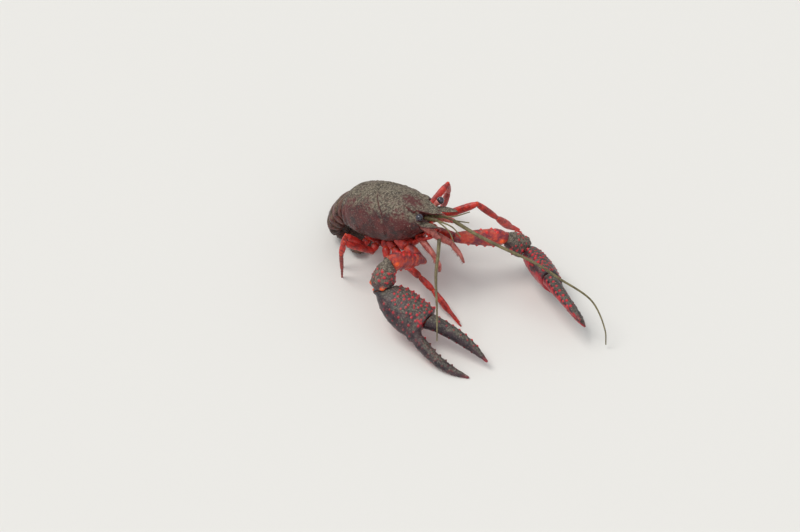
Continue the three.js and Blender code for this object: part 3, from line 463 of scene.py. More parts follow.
trunk_half = through((-52, 11), (-47, 12.4), (-40, 13.1), (-33, 13), (-26, 12.2), (-19, 10.8), (-13, 8.6),
                     (-10, 7))
trunk_top = through((-52, 5.2), (-47, 7.2), (-40, 8.5), (-33, 8.8), (-26, 8.2), (-19, 6.8), (-13, 4.3),
                    (-10, 2.6))
trunk_belly = through((-52, -11.5), (-47, -14), (-40, -15.6), (-33, -16.2), (-26, -15.8), (-19, -13.8),
                      (-13, -10.2), (-10, -8))
trunk_sweep = through((-52, 3.2), (-43, 3), (-35, 7), (-31, 9), (-26, 6), (-19, 2), (-12, 0))


def swept(x, share):
    """How far a section at x leans back at a share of its half width: sweep * (share^2 - 0.35),
    fading to none at the rear edge."""
    return trunk_sweep(x) * ramp(x, -51.2, 3.7) * (share**2 - 0.35)


def shield_rings(around=160):
    """Arched sections from the rear edge to the orbits, each swept back in the middle, so that the
    groove runs as a V."""
    x = np.linspace(REAR_EDGE, HEAD_FRONT, 150)[:, None]
    half, top, belly = (curve(x[:, 0]) for curve in (trunk_half, trunk_top, trunk_belly))
    across, up = oval(around, half, top - TRUNK_MIDDLE, TRUNK_MIDDLE - belly, TRUNK_SQUARE)
    groove = ridge(x - GROOVE_AT, GROOVE_WIDTH) * ramp(up, -5, 2)
    size = (0.96 + 0.04 * ramp(x, REAR_EDGE, 0.8) ** 0.5) * (1 - GROOVE_SHARE * groove)
    lean = swept(x, np.minimum(abs(across / half[:, None]), 1))
    return np.stack([x + lean, across * size, TRUNK_MIDDLE + up * size], -1)


def rostrum_rings():
    """A trough between two raised edges, narrowing to a shoulder with a spine on each side and on
    to a fine point: a loop over the top, out from the middle, and back below, then its mirror."""
    x = np.concatenate([np.linspace(-15, -3, 40), np.linspace(-2.8, 0, 14)])
    half = through((-15, 4.9), (-10, 4.4), (-6, 3.1), (-2.8, 1.8), (-2.2, 1.15), (0, 0.22))(x)
    top = through((-15, 4.1), (-10, 2.9), (-6, 1.6), (-2, 0.75), (0, 0.45))(x)
    rim = np.minimum(0.85, half * 0.42)
    thick = np.minimum(2.6, 0.6 - x * 0.16)
    turn = np.linspace(0, 1, 15)[:, None]
    lip = through((0, 0), (0.35, 0.12), (0.62, 0.4), (0.82, 1), (0.93, 0.9), (1, 0.25))(turn)
    keel = through((0, 1), (0.4, 0.92), (0.8, 0.5), (1, 0))(turn)
    over = np.stack([turn * half, (top - rim) + lip * rim], -1)
    under = np.stack([turn * half, (top - rim * 0.75) - keel * thick], -1)
    loop = np.concatenate([over, under[::-1][1:], under[1:] * [-1, 1], over[::-1][1:-1] * [-1, 1]])
    return sections(x, loop[..., 0].T, loop[..., 1].T)


def cone_skin(root, tip, radius, around=10):
    """A tapering spine from root to tip with a rounded point."""
    share = np.linspace(0, 1, 9)
    along = tip - root
    side = np.cross(UP if abs(along[2]) < 0.9 * np.linalg.norm(along) else [1.0, 0, 0], along)
    side /= np.linalg.norm(side)
    other = np.cross(along / np.linalg.norm(along), side)
    width = radius * (1 - share) ** 0.85 + 0.04
    a, b = oval(around, width, width)
    return closed_skin(root + share[:, None, None] * along + a[..., None] * side + b[..., None] * other, 1)


def flank_spine(x, angle, length, radius, forward):
    """A spine seated on the shield at x and at an angle round it from the left side."""
    c, s = np.cos(angle), np.sin(angle)
    bend = 2 / TRUNK_SQUARE
    foot = np.array([x, trunk_half(x) * np.sign(c) * abs(c) ** bend,
                     TRUNK_MIDDLE + (trunk_top(x) - TRUNK_MIDDLE) * np.sign(s) * abs(s) ** bend])
    out = np.array([forward, c, s]) / np.linalg.norm([forward, c, s])
    return cone_skin(foot - 1.2 * out, foot + length * out, radius)


def brow_ridge(s):
    """The raised ridge behind an orbit, which ends in a spine; s is 1 on the left, -1 on the right."""
    x = np.linspace(-17.5, -10.8, 24)
    lane = np.stack([x, s * (5 + (x + 17) * 0.12), trunk_top(x) - 1.15 + (x + 17) * 0.07], -1)
    swell = through((-17.5, 0.3), (-15, 0.7), (-12, 0.95), (-10.8, 0.3))(x)
    a, b = oval(14, swell, swell * 1.25, swell)
    return closed_skin(lane[:, None] + a[..., None] * [0, 1, 0] + b[..., None] * [0, 0, 1], 1)


shield_skins = [closed_skin(shield_rings(), 14), closed_skin(rostrum_rings(), 2)]
for s in (1, -1):
    flank = 0 if s > 0 else np.pi
    shield_skins += [
        brow_ridge(s),
        cone_skin(np.array([-12.5, s * 5.6, 3.1]), np.array([-9.6, s * 5.9, 3.2]), 0.55),
        cone_skin(np.array([-3.6, s * 1.55, 0.7]), np.array([-1.7, s * 1.75, 1.0]), 0.42),
        flank_spine(-23, flank + s * 0.42, 1.3, 0.8, 0.7),
        flank_spine(-13.6, flank + s * 0.1, 1.1, 0.7, 0.9)]
carapace = one_body(piece_of("carapace_shell", *shield_skins), SHELL_VOXEL)

spots = points_of(carapace)
for s in (1, -1):
    eye = EYE_AT * [1, s, 1]
    away = spots - eye
    reach = np.linalg.norm(away, axis=1)
    inside = (reach < ORBIT_ROOM)[:, None] & (spots[:, :1] < -6)
    hollow = eye + away / np.maximum(reach, 1e-6)[:, None] * ORBIT_ROOM
    spots = np.where(inside, hollow, spots)
move_points(carapace, spots)

x, y, z = spots.T
rng = np.random.default_rng(7)
line = through((-51, 2.2), (-46, 0.7), (-42, 0.25), (-37, 0.7), (-34, 1.9))(x)
on_back = ramp(z, 2, 1.5) * ramp(x, -33.2, -1.5) * ramp(x, -51.3, 0.6)
rear = x - REAR_EDGE - swept(x, y / trunk_half(x))
seam = through((-50, -9.5), (-35, -12.6), (-20, -10.6), (-11, -6.5))(x)
relief = -LINE_DEPTH * ridge(abs(y) - line, 0.28) * on_back
relief -= RIM_DEPTH * ridge(rear - 1.9, 0.45) * (z > -14)
relief -= SEAM_DEPTH * ridge(z - seam, 0.4) * (abs(y) > 3)
flank_points = np.flatnonzero((abs(y) > 5) & (z > -11) & (x < -12.5))
seats = spots[rng.choice(flank_points, GRANULES, replace=False)]
grains, grain_mask = bumps(spots, seats, rng.uniform(0.4, 0.75, GRANULES), rng.uniform(0.12, 0.3, GRANULES),
                           1.2)
back_points = np.flatnonzero((abs(y) <= 5.5) & (z > 0) & (x < -13))
seats = spots[rng.choice(back_points, DIMPLES, replace=False)]
dimples, _ = bumps(spots, seats, 0.42, 0.12, 1.0)
raise_skin(carapace, relief + grains - dimples)
patch = ridge(x - BARE_PATCH[0], 4.2) * ridge(y - BARE_PATCH[1], 2.6) * (z > 0)
patch *= 1 + freckles(spots, 8, 0.9, 2.2)
mark(carapace, "knob", np.maximum(grain_mask * 0.8, patch * 1.6))
move_points(carapace, on_trunk(points_of(carapace)))
dress(carapace, back_finish, "carapace")


# Limbs are hollow shell tubes on soft hinge skin: each bone is an oval tube between two joints,
# cut by the joint's own plane, with a narrower neck of skin that goes into the bone before it.
HIPS = {"claw": (-19.5, 7.6, -16, 2.6), "leg2": (-27, 8.2, -17.6, 2.0), "leg3": (-32, 8.2, -18.2, 2.0),
        "leg4": (-38, 7.8, -17.8, 1.9), "leg5": (-43.5, 7, -16.4, 1.8),
        "maxilliped": (-14.5, 3, -13.2, 1.7)}
POSE = {
    "leg2_right": [(-13, -10.5, 14.5), (-2.1, -12.5, 13), (4.5, -11.7, 8), (16.6, -14.7, 2.6),
                   (23.3, -16.4, -0.2)],
    "leg3_right": [(-21, -11.5, 12.5), (-17, -20, 15.5), (-15, -22.5, 9), (-10.5, -22, 2.8),
                   (-8.4, -21, -0.2)],
    "leg4_right": [(-29.5, -11.5, 13), (-35.8, -24, 24), (-37.1, -24.7, 17), (-38.1, -22.9, 5),
                   (-38.5, -22.5, -0.2)],
    "leg5_right": [(-35.5, -9.5, 11.5), (-41.1, -15.6, 19), (-42, -17.5, 13), (-42.6, -17.6, 4.5),
                   (-42.8, -17.5, -0.2)],
    "leg2_left": [(-18, 15.2, 17.5), (0.7, 27.7, 29), (6.2, 36.1, 17), (8.5, 45.3, 5), (10.5, 50, -0.2)],
    "leg3_left": [(-22, 14, 18), (-18.6, 32, 27.5), (-20.5, 35.5, 19), (-25, 37, 6), (-27.5, 37, -0.2)],
    "leg4_left": [(-31, 11.5, 13.5), (-38, 22, 21), (-40.5, 25, 15), (-43, 26, 5), (-44, 26, -0.2)],
    "leg5_left": [(-38, 10.5, 12.5), (-47, 16, 19), (-50.5, 18.5, 13), (-54.5, 20.2, 4.5),
                  (-56, 20.6, -0.2)],
    "claw_right": [(-5, -8.5, 19), (-8.7, -27.1, 30), (-8.6, -33.9, 18)],
    "claw_left": [(2, 8, 24), (19.5, 24, 21.5), (26.3, 31.1, 12)],
    "maxilliped_right": [(0.5, -7.1, 25.4), (5.5, -8.2, 21.5), (5.9, -8.3, 17.5)],
    "maxilliped_left": [(4.5, 2.1, 26.4), (9.5, 2.3, 21.8), (11.6, 2.3, 18)],
}
NECK_SIZES = (0.62, 0.74, 0.8, 0.84)
NECK_DEPTHS = (1.1, 0.8, 0.35, 0.02)


def unit(v):
    return np.asarray(v, float) / np.linalg.norm(v)


def hip(kind, side):
    x, y, z, _ = HIPS[kind]
    return on_trunk([x, SIDES[side] * y, z])


def hip_plane(root, first):
    """The face of a limb's first bone, half a gap from its root and square to the way it starts."""
    return root + unit(first - root) * GAP / 2, unit(first - root)


def joint_planes(before, joint, after):
    """The two facing planes of a joint, half a gap to either side of it, square to the mean way."""
    normal = unit(unit(joint - before) + unit(after - joint))
    return (joint - normal * GAP / 2, normal), (joint + normal * GAP / 2, normal)


def held(rings, plane, along, side, exact_row=None):
    """Points on the wrong side of a plane slid along the bone onto it; one row lies on it exactly."""
    spot, normal = plane
    gap = (spot - rings) @ normal
    move = np.where(gap * side > 0, gap, 0)
    if exact_row is not None:
        move[exact_row] = gap[exact_row]
    return rings + (move / (along @ normal))[..., None] * along


def bone_axes(start, stop):
    along = unit(stop - start)
    side = unit(np.cross(UP, along))
    return along, side, np.cross(along, side)


def girth(profile, share):
    """Half width and half height of a bone at a share of its length."""
    return (through(*[(row[0], row[k]) for row in profile])(share) for k in (1, 2))


def limb_rings(joints, profiles, ends, around=36, step=0.3, neck=0.8):
    """Rings of a chain of bones. Each bone's oval follows its profile of (share of length, half
    width, half height); bones meet on the mitre plane between them, the chain's ends on `ends`."""
    joints = [np.asarray(j, float) for j in joints]
    rows = []
    for b, profile in enumerate(profiles):
        start, stop = joints[b], joints[b + 1]
        along, side, top = bone_axes(start, stop)
        if b > 0:
            profile = [(0, *profiles[b - 1][-1][1:])] + list(profile)
        length = np.linalg.norm(stop - start)
        low, high = profile[0][0], profile[-1][0]
        share = np.linspace(low, high, max(4, round(length * (high - low) / step)))
        share = share[1:] if b > 0 else share
        a, c = oval(around, *girth(profile, share))
        rings = start + (share * length)[:, None, None] * along + a[..., None] * side + c[..., None] * top
        begin = (start, unit(unit(start - joints[b - 1]) + along)) if b > 0 else ends[0]
        last = b + 1 == len(profiles)
        finish = ends[1] if last else (stop, unit(along + unit(joints[b + 2] - stop)))
        if begin:
            rings = held(rings, begin, along, 1, 0 if b == 0 else None)
        if finish:
            rings = held(rings, finish, along, -1, -1)
        if b == 0 and begin and neck:
            middle = rings[0].mean(0)
            sock = middle + (rings[0] - middle) * np.array(NECK_SIZES)[:, None, None]
            sock -= np.array(NECK_DEPTHS)[:, None, None] * neck * along
            rings = np.concatenate([sock, rings])
        rows.append(rings)
    return np.concatenate(rows)


def behind(spots, plane):
    """1 where a point lies behind the plane, that is on the neck of joint skin."""
    return ((spots - plane[0]) @ plane[1] < -0.01).astype(float)


def knob_seat(start, stop, profile, share, angle):
    """A place on a bone: its oval at a share of the length, a quarter turn being the top."""
    along, side, top = bone_axes(start, stop)
    half, high = girth(profile, share)
    return start + share * (stop - start) + side * half * np.cos(angle) + top * high * np.sin(angle)


def ruffle(piece, seed, amount, size, plane=None):
    """Low swellings on a piece's skin, and joint skin marked behind its first plane."""
    spots = points_of(piece)
    raise_skin(piece, freckles(spots, seed, amount, size))
    if plane:
        mark(piece, "joint", behind(spots, plane))


# Underside of the trunk: a narrow keel between the legs, with a stout two-part hip for every limb,
# and in front the mouth: a plate above it, two rounded jaws, and the second jaw feet folded over.
RIB_PITCH = 5.6
RIB_HEIGHT = 0.22
JAW_FOOT = [(-14.5, 4.2, -12.6), (-10, 4.6, -12), (-7.2, 3, -11.6), (-6.4, 1.3, -11)]
JAW_FOOT_PROFILES = [[(0, 0.9, 0.9), (0.6, 0.95, 1), (1, 0.75, 0.75)],
                     [(0.4, 0.75, 0.8), (1, 0.6, 0.6)],
                     [(0.4, 0.55, 0.6), (1, 0.3, 0.3)]]


def lump(middle, reach):
    """A closed ellipsoid on the trunk about a middle, with its half sizes along, across and up."""
    t = np.sin(np.linspace(-1.45, 1.45, 18))
    width = np.sqrt(1 - t**2)
    rings = sections(reach[0] * t, *oval(28, reach[1] * width, reach[2] * width))
    return closed_skin(on_trunk(rings + middle), 1)


def belly_tube(x, half, high, below, around, square=2.0):
    """Rings of a tube along the trunk whose middle runs `below` under the belly line."""
    across, up = oval(around, half, high, square=square)
    return on_trunk(sections(x, across, (trunk_belly(x) - below)[:, None] + up))


def round_profile(radius, *knots):
    """Knots of (share of length, share of the radius) as a profile with round sections."""
    return [(share, radius * part, radius * part) for share, part in knots]


x = np.linspace(-49, -16, 60)
keel_half = through((-49, 3.4), (-44, 5.4), (-30, 6.2), (-18, 4.4), (-16, 3))(x)
ribs = RIB_HEIGHT * np.cos(2 * np.pi * x / RIB_PITCH)
under_skins = [closed_skin(belly_tube(x, keel_half, 1.9, 2.3 - ribs, 40, 2.6), 4)]
for limb_name, joints in POSE.items():
    kind, side = limb_name.split("_")
    hip_x, _, _, radius = HIPS[kind]
    root = hip(kind, side)
    along = unit(joints[0] - root)
    inner = on_trunk([hip_x, SIDES[side] * 2, trunk_belly(hip_x) - 2.6])
    core = [(0, 1.4, 1.4)] + round_profile(radius, (0.5, 0.9), (0.8, 0.84), (1, 1))
    rim = round_profile(radius, (0.5, 1.06), (1, 0.86))
    end = (root - along * GAP / 2, along)
    rings = limb_rings([inner, root - along * radius * 0.9, root], [core, rim], [None, end], 28)
    under_skins.append(closed_skin(rings, 3))
x = np.linspace(-18, -9.6, 30)
throat_half = through((-18, 2.2), (-13, 2.6), (-9.6, 2))(x)
under_skins.append(closed_skin(belly_tube(x, throat_half, 1.0, 1.2, 30), 3))
under_skins.append(lump((-9.9, 0, -6.9), (0.8, 3.1, 1.1)))
for s in (1, -1):
    under_skins.append(lump((-9.2, s * 1.85, -9.9), (1.5, 1.7, 2.1)))
    under_skins.append(lump((-7.9, s * 0.75, -10.4), (0.7, 0.55, 1.0)))
    jaw_foot = on_trunk(np.array(JAW_FOOT) * [1, s, 1])
    under_skins.append(closed_skin(limb_rings(jaw_foot, JAW_FOOT_PROFILES, [None, None], 20), 2))
underside = one_body(piece_of("trunk_underside", *under_skins), SHELL_VOXEL, 3)
dress(underside, leg_finish, "thorax_underside")


# Walking legs: ischium and merus in one tube, then carpus, then the foot. The first two pairs end
# in a small pincer, the last two in a plain claw. Thin red shell, paler at the joints, freckled.
LEG_SIZES = {"leg2": 1.08, "leg3": 1.04, "leg4": 0.98, "leg5": 0.94}
FOOT_VOXEL = 0.17
DARK_FOOT = 0.6
PINCER_FORK = 0.72
THIGH = [[(0, 1.6, 1.6), (0.3, 1.85, 1.85), (0.8, 1.5, 1.65), (1, 1.42, 1.6)],
         [(0.25, 1.25, 1.75), (0.6, 1.3, 1.85), (0.86, 1.45, 1.65), (1, 1.05, 1.05)]]
SHANK = [[(0, 1, 1), (0.22, 1.2, 1.4), (0.75, 1.28, 1.38), (1, 0.9, 0.95)]]
PINCER = [[(0, 0.9, 0.95), (0.2, 1.2, 1.5), (0.7, 1.25, 1.75), (1, 0.8, 0.95)],
          [(0.3, 0.62, 0.62), (0.75, 0.5, 0.5), (1.04, 0.4, 0.42)]]
PINCER_FINGER = [[(0, 0.75, 0.8), (0.5, 0.6, 0.65), (1, 0.26, 0.26)]]
PLAIN_FOOT = [[(0, 0.9, 0.95), (0.2, 1, 1.2), (0.8, 0.85, 0.95), (1, 0.65, 0.7)],
              [(0.2, 0.6, 0.62), (0.6, 0.5, 0.5), (1.04, 0.42, 0.42)]]


def scaled(profiles, size):
    """The same profiles with their half widths and half heights times a size."""
    return [[(share, half * size, high * size) for share, half, high in rows] for rows in profiles]


for limb_name, joints in POSE.items():
    kind, side = limb_name.split("_")
    if kind not in LEG_SIZES:
        continue
    size, pincer = LEG_SIZES[kind], kind in ("leg2", "leg3")
    root = hip(kind, side)
    ischium, knee, wrist, finger, foot = np.array(joints, float)
    start = hip_plane(root, ischium)
    knee_planes, wrist_planes = joint_planes(ischium, knee, wrist), joint_planes(knee, wrist, finger)
    thigh = limb_rings([root, ischium, knee], scaled(THIGH, size), [start, knee_planes[0]], 30)
    shank = limb_rings([knee, wrist], scaled(SHANK, size), [knee_planes[1], wrist_planes[0]], 30, 0.25)
    hand = limb_rings([wrist, finger, foot], scaled(PINCER if pincer else PLAIN_FOOT, size),
                      [wrist_planes[1], None], 28, 0.2)
    foot_skins = [closed_skin(hand, 2)]
    if pincer:
        above = wrist + (finger - wrist) * PINCER_FORK + [0, 0, 0.5]
        tip = foot - (foot - finger) * 0.12 + [0, 0, 1.5]
        upper = limb_rings([above, tip], scaled(PINCER_FINGER, size), [None, None], 18, 0.2)
        foot_skins.append(closed_skin(upper, 2))
    bones = {"merus": ([closed_skin(thigh, 3)], start),
             "carpus": ([closed_skin(shank, 3)], knee_planes[1]),
             "foot": (foot_skins, wrist_planes[1])}
    for bone, (skins, plane) in bones.items():
        piece = piece_of(f"{limb_name}_{bone}_shell", *skins)
        if bone == "foot":
            one_body(piece, FOOT_VOXEL, 2)
        ruffle(piece, len(limb_name) + int(kind[3]), 0.06, 1.6, plane)
        spots = points_of(piece)
        mark(piece, "knob", np.full(len(spots), DARK_FOOT if bone == "foot" and not pincer else 0.0))
        spots[:, 2] = np.maximum(spots[:, 2], 0)
        move_points(piece, spots)
        dress(piece, leg_finish, f"{limb_name}_{bone}")


# Third maxillipeds: stout jaw feet folded forward under the mouth, with fringes of stiff hairs.
# Rose shell, paler than the legs; four lanes of hairs stand along the lower side of every bone.
JAW_LIMB = [[(0, 1.45, 1.45), (0.3, 1.5, 1.9), (0.7, 1.4, 1.8), (1, 1.2, 1.3)],
            [(0.3, 1.15, 1.35), (0.75, 1.1, 1.2), (1, 0.85, 0.9)],
            [(0.3, 0.8, 0.85), (0.75, 0.6, 0.6), (1, 0.28, 0.28)]]
HAIR_LANES = (-0.5, -1.0, np.pi + 0.5, np.pi + 1.0)
HAIR_PLACES = np.linspace(0.35, 0.95, 14)


def hairs(seats, ways, length, radius, seed):
    """Fine tapering hairs, each a three-sided cone from its seat along its way, a little unequal."""
    draw = np.random.default_rng(seed)
    angle = np.arange(3)[:, None] * 2 * np.pi / 3
    tris = np.array([[0, 1, 3], [1, 2, 3], [2, 0, 3], [0, 2, 1]])
    skins = []
    for seat, way in zip(seats, ways):
        way = unit(way + draw.normal(scale=0.16, size=3)) * length * draw.uniform(0.7, 1.15)
        side = unit(np.cross(way, [0.31, 0.17, 0.93]))
        other = unit(np.cross(way, side))
        foot = seat + radius * (np.cos(angle) * side + np.sin(angle) * other)
        skins.append((np.concatenate([foot, [seat + way]]), np.zeros((0, 4), int), tris))
    return skins


def limb_fringe(start, stop, profile, seed):
    """Lanes of hairs on one bone, which lean out from its middle line and on along it."""
    along = unit(stop - start)
    skins = []
    for angle in HAIR_LANES:
        seats = np.array([knob_seat(start, stop, profile, share, angle) for share in HAIR_PLACES])
        ways = seats - start - ((seats - start) @ along)[:, None] * along
        lean = ways / np.linalg.norm(ways, axis=1)[:, None] + 0.7 * along
        skins += hairs(seats - 0.2 * ways, lean, 1.4, 0.06, seed)
    return skins


for side in SIDES:
    limb_name = f"maxilliped_{side}"
    joints = [hip("maxilliped", side), *np.array(POSE[limb_name], float)]
    start = hip_plane(*joints[:2])
    fringe = []
    for b, profile in enumerate(JAW_LIMB):
        fringe += limb_fringe(joints[b], joints[b + 1], profile, 60 + b)
    rings = limb_rings(joints, JAW_LIMB, [start, None], 28, 0.25)
    piece = piece_of(f"{limb_name}_shell", closed_skin(rings, 3), *fringe)
    ruffle(piece, 5, 0.07, 1.4, start)
    dress(piece, rose_finish, limb_name)


# Claws: base, merus and carpus of the arm, then the broad palm with its fixed finger, and the
# movable finger. Heavy dark shell, with rows of crimson tubercles and orange hinge knobs.
CLAW = {"right": ((44.8, -35.9, 2.9), 25, 0.98, 6.5), "left": ((71.4, 6.4, 13.4), 62, 0.9, 2.5)}
BASE_PROFILE = [(0, 2.3, 2.3), (0.3, 2.7, 2.8), (0.7, 2.6, 2.9), (1, 2.2, 2.3)]
MERUS_PROFILE = [(0, 2.2, 2.3), (0.2, 2.6, 3.2), (0.5, 3, 4), (0.8, 3.4, 4.4), (0.92, 3, 3.6),
                 (1, 2.3, 2.5)]
CARPUS_PROFILE = [(0, 2.3, 2.5), (0.2, 4, 4), (0.45, 5, 4.9), (0.75, 5.3, 5), (0.9, 4.4, 4.2),
                  (1, 2.8, 2.7)]
FORK_AT = 26.0
HINGE = (26.3, 2.9)
PALM_LENGTH = 57.5
FINGER_LENGTH = 33.0
PALM_NECK = ((0.6, 0.75, 0.85), (2.2, 1.6, 0.1))
FINGER_NECK = ((0.55, 0.72, 0.82), (2.0, 1.4, 0.1))
FLAT_BELLY = 0.92
ALONG_CLAW = np.array([1.0, 0, 0])
CARPUS_GRAINS = 60
PALM_GRAINS = 150
palm_middle = through((0, 0), (6, 0.2), (18, -0.3), (26, -0.9), (26.3, -5.4), (34, -7.8), (42, -8.6),
                      (50, -7.8), (57.5, -5.6))
palm_half = through((0, 2.9), (4, 5.8), (8, 7.7), (13, 8.9), (18, 9.2), (23, 9), (26, 8.5), (26.3, 3.9),
                    (32, 3), (40, 2.5), (48, 2), (54, 1.3), (57.5, 0.5))
palm_thick = through((0, 2.8), (4, 4.6), (10, 5.8), (17, 6.1), (23, 5.5), (26, 4.9), (26.3, 3.8),
                     (32, 2.9), (40, 2.5), (48, 2), (54, 1.3), (57.5, 0.5))
finger_half = through((0, 4), (4, 3.5), (12, 3.1), (20, 2.6), (27, 1.7), (33, 0.5))
finger_thick = through((0, 3.9), (4, 3.6), (12, 3.2), (20, 2.6), (27, 1.7), (33, 0.5))
finger_middle = through((0, 0), (6, 0.9), (16, 1.2), (25, 0.4), (33, -1.3))
PALM = (palm_half, palm_thick, palm_middle, 2.15)
FINGER = (finger_half, finger_thick, finger_middle, 2.0)


def on_claw(x, angle, shape, inner):
    """Places on a palm or finger at x and an angle about it, 0 inside, a quarter turn on its back."""
    half, thick, middle, square = shape
    c, s = np.cos(angle), np.sin(angle)
    across = half(x) * np.sign(c) * abs(c) ** (2 / square)
    return np.stack([x, inner * (middle(x) + across), thick(x) * np.sign(s) * abs(s) ** (2 / square)], -1)


def rows_on(shape, inner, rows, draw=None):
    """Seats in rows, each row its places along the claw and their one angle, scattered by `draw`."""
    seats = []
    for places, angle in rows:
        angles = np.full(len(places), float(angle))
        if draw:
            places = places + draw.uniform(-0.5, 0.5, len(places))
            angles = angles + draw.uniform(-0.07, 0.07, len(places))
        seats.append(on_claw(places, angles, shape, inner))
    return np.concatenate(seats)


def claw_piece(name, x, shape, inner, around, plane, neck, cap):
    """Ovals along x about a middle line that bends to the inner side, the belly side a little flat,
    cut by the joint's plane; `neck` has the sizes of the rings behind it and how far back they lie."""
    half, thick, middle, square = shape
    waist, sunk = neck
    a, b = oval(around, half(x), thick(x), thick(x) * FLAT_BELLY, square)
    rings = held(sections(x, inner * (middle(x)[:, None] + a), b), plane, ALONG_CLAW, 1, 0)
    centre = rings[0].mean(0)
    sock = centre + (rings[0] - centre) * np.array(waist)[:, None, None]
    sock[..., 0] -= np.array(sunk)[:, None]
    return piece_of(name, closed_skin(np.concatenate([sock, rings]), cap))


def belly_red(spots, thick, seed):
    """Red below: 1.5 * depth / half thickness - 0.5 and two clouds of swellings, from 0 to 0.7."""
    cloud = freckles(spots, seed, 0.6, 5.0) + freckles(spots, seed + 2, 0.7, 1.9)
    return np.clip(-spots[:, 2] / thick(spots[:, 0]) * 1.5 - 0.5 + cloud, 0, 0.7)


def arm_piece(node, joints, profile, planes, places, radius, height, seed, finish, knuckles=()):
    """One arm bone with its tubercles raised out of the skin, and hinge knobs at its far end, both
    given by places of (share of its length, angle)."""
    rings = limb_rings(joints, [profile], planes, 72, 0.25, 1.4)
    piece = piece_of(f"{node}_shell", closed_skin(rings, 4))
    spots = points_of(piece)
    seats, hinge_seats = ([knob_seat(*joints, profile, *place) for place in group]
                          for group in (places, knuckles))
    lift, mask = bumps(spots, seats, radius, height, 1.3)
    hinge, hinge_mask = bumps(spots, hinge_seats, 1.5, 0.8, 1.0)
    neck = behind(spots, planes[0])
    raise_skin(piece, (lift + hinge) * (1 - neck) + freckles(spots, seed, 0.1, 2.3))
    mark(piece, "knob", np.clip(mask * 1.7, 0, 1) * (1 - neck))
    mark(piece, "joint", np.maximum(neck, np.clip(hinge_mask * 2.2, 0, 1)))
    dress(piece, finish, node)


def make_palm(name, inner, plane):
    """The palm and fixed finger in the claw's own axes: rows of tubercles on its back, bigger ones
    and teeth along the inner edge, grains all over, dark outside, red below and a lip at the fork."""
    x = np.concatenate([np.linspace(0, FORK_AT, 96), np.linspace(FORK_AT + 0.06, 26.5, 8),
                        np.linspace(26.8, PALM_LENGTH, 110)])
    palm = claw_piece(name, x, PALM, inner, 110, plane, PALM_NECK, 5)
    spots = points_of(palm)
    x, y, z = spots.T
    layout = [(np.minimum(7 + 3 * np.arange(7) + 1.5 * (row % 2), FORK_AT - 1), 0.5 + 0.42 * row)
              for row in range(6)]
    layout += [(8.5 + 3 * np.arange(6) + 1.5 * (row % 2), 0.29 + 0.42 * row) for row in range(4)]
    draw = np.random.default_rng(20)
    seats = rows_on(PALM, inner, layout, draw)
    wide = draw.uniform(0.5, 0.92, len(seats))
    small = on_claw(draw.uniform(5, 52, PALM_GRAINS), draw.uniform(0, 6.28, PALM_GRAINS), PALM, inner)
    dark_rows = [(29.0 + 4 * np.arange(6), 2.0), (31.0 + 4 * np.arange(5), 1.3)]
    edge_rows = [(6.5 + 3 * np.arange(7), 0.12), (30.5 + 3.5 * np.arange(6), 0.15)]
    big = np.repeat([1.15, 0.95], [7, 6])
    lift, mask = bumps(spots, seats, wide, wide * 0.7, 1.3)
    dark_lift, dark_mask = bumps(spots, rows_on(PALM, inner, dark_rows), 0.8, 0.4, 1.3)
    tall, big_mask = bumps(spots, rows_on(PALM, inner, edge_rows), big, big, 1.3)
    grains, grain_mask = bumps(spots, small, 0.6, 0.28, 1.2)
    neck = behind(spots, plane)
    relief = np.maximum.reduce([lift, tall, grains, dark_lift]) * ramp(x, PALM_LENGTH, -3)
    raise_skin(palm, relief * (1 - neck) + freckles(spots, 14, 0.12, 3.1))
    outer_dark = np.clip(1.15 + (inner * y - palm_middle(x)) / palm_half(x), 0.25, 1)
    teeth = np.where(x > FORK_AT + 6, 0.35, 1.7)
    lip = ridge(inner * y + 0.9, 0.45) * (z > 0) * ramp(x, 22.5, 1) * ramp(x, 30, -2)
    reds = [mask * 1.6 * outer_dark, big_mask * teeth, grain_mask * 0.3 * outer_dark, dark_mask * 0.15,
            ramp(x, 54, 3) * 0.25, belly_red(spots, palm_thick, 16), lip]
    mark(palm, "knob", np.maximum.reduce(reds) * (1 - neck))
    mark(palm, "joint", neck)
    return palm


def make_finger(name, inner, swing):
    """The movable finger in its own axes, with four rows of tubercles and a reddish tip and belly."""
    face = (GAP * ALONG_CLAW, np.array([np.cos(swing), -inner * np.sin(swing), 0]))
    x = np.linspace(0, FINGER_LENGTH, 130)
    finger = claw_piece(name, x, FINGER, inner, 84, face, FINGER_NECK, 4)
    spots = points_of(finger)
    x, y, _ = spots.T
    rows = [(4.5 + 4 * np.arange(6), 2.95), (3.5 + 3.6 * np.arange(7), 0.3),
            (5 + 3.8 * np.arange(6), 1.3), (3.5 + 3.4 * np.arange(7), -0.4)]
    wide = np.repeat([0.8, 1.0, 0.65, 0.9], [6, 7, 6, 7])
    lift, mask = bumps(spots, rows_on(FINGER, inner, rows), wide, wide * 0.65, 1.3)
    neck = behind(spots, face)
    raise_skin(finger, lift * (1 - neck) * ramp(x, FINGER_LENGTH, -3) + freckles(spots, 15, 0.1, 2.6))
    on_edge = np.clip((inner * y - finger_middle(x)) / finger_half(x) * 1.6, 0.2, 1)
    reds = [mask * 1.7 * on_edge, ramp(x, 29.5, 3) * 0.4, belly_red(spots, finger_thick, 17)]
    mark(finger, "knob", np.maximum.reduce(reds) * (1 - neck))
    mark(finger, "joint", neck)
    return finger


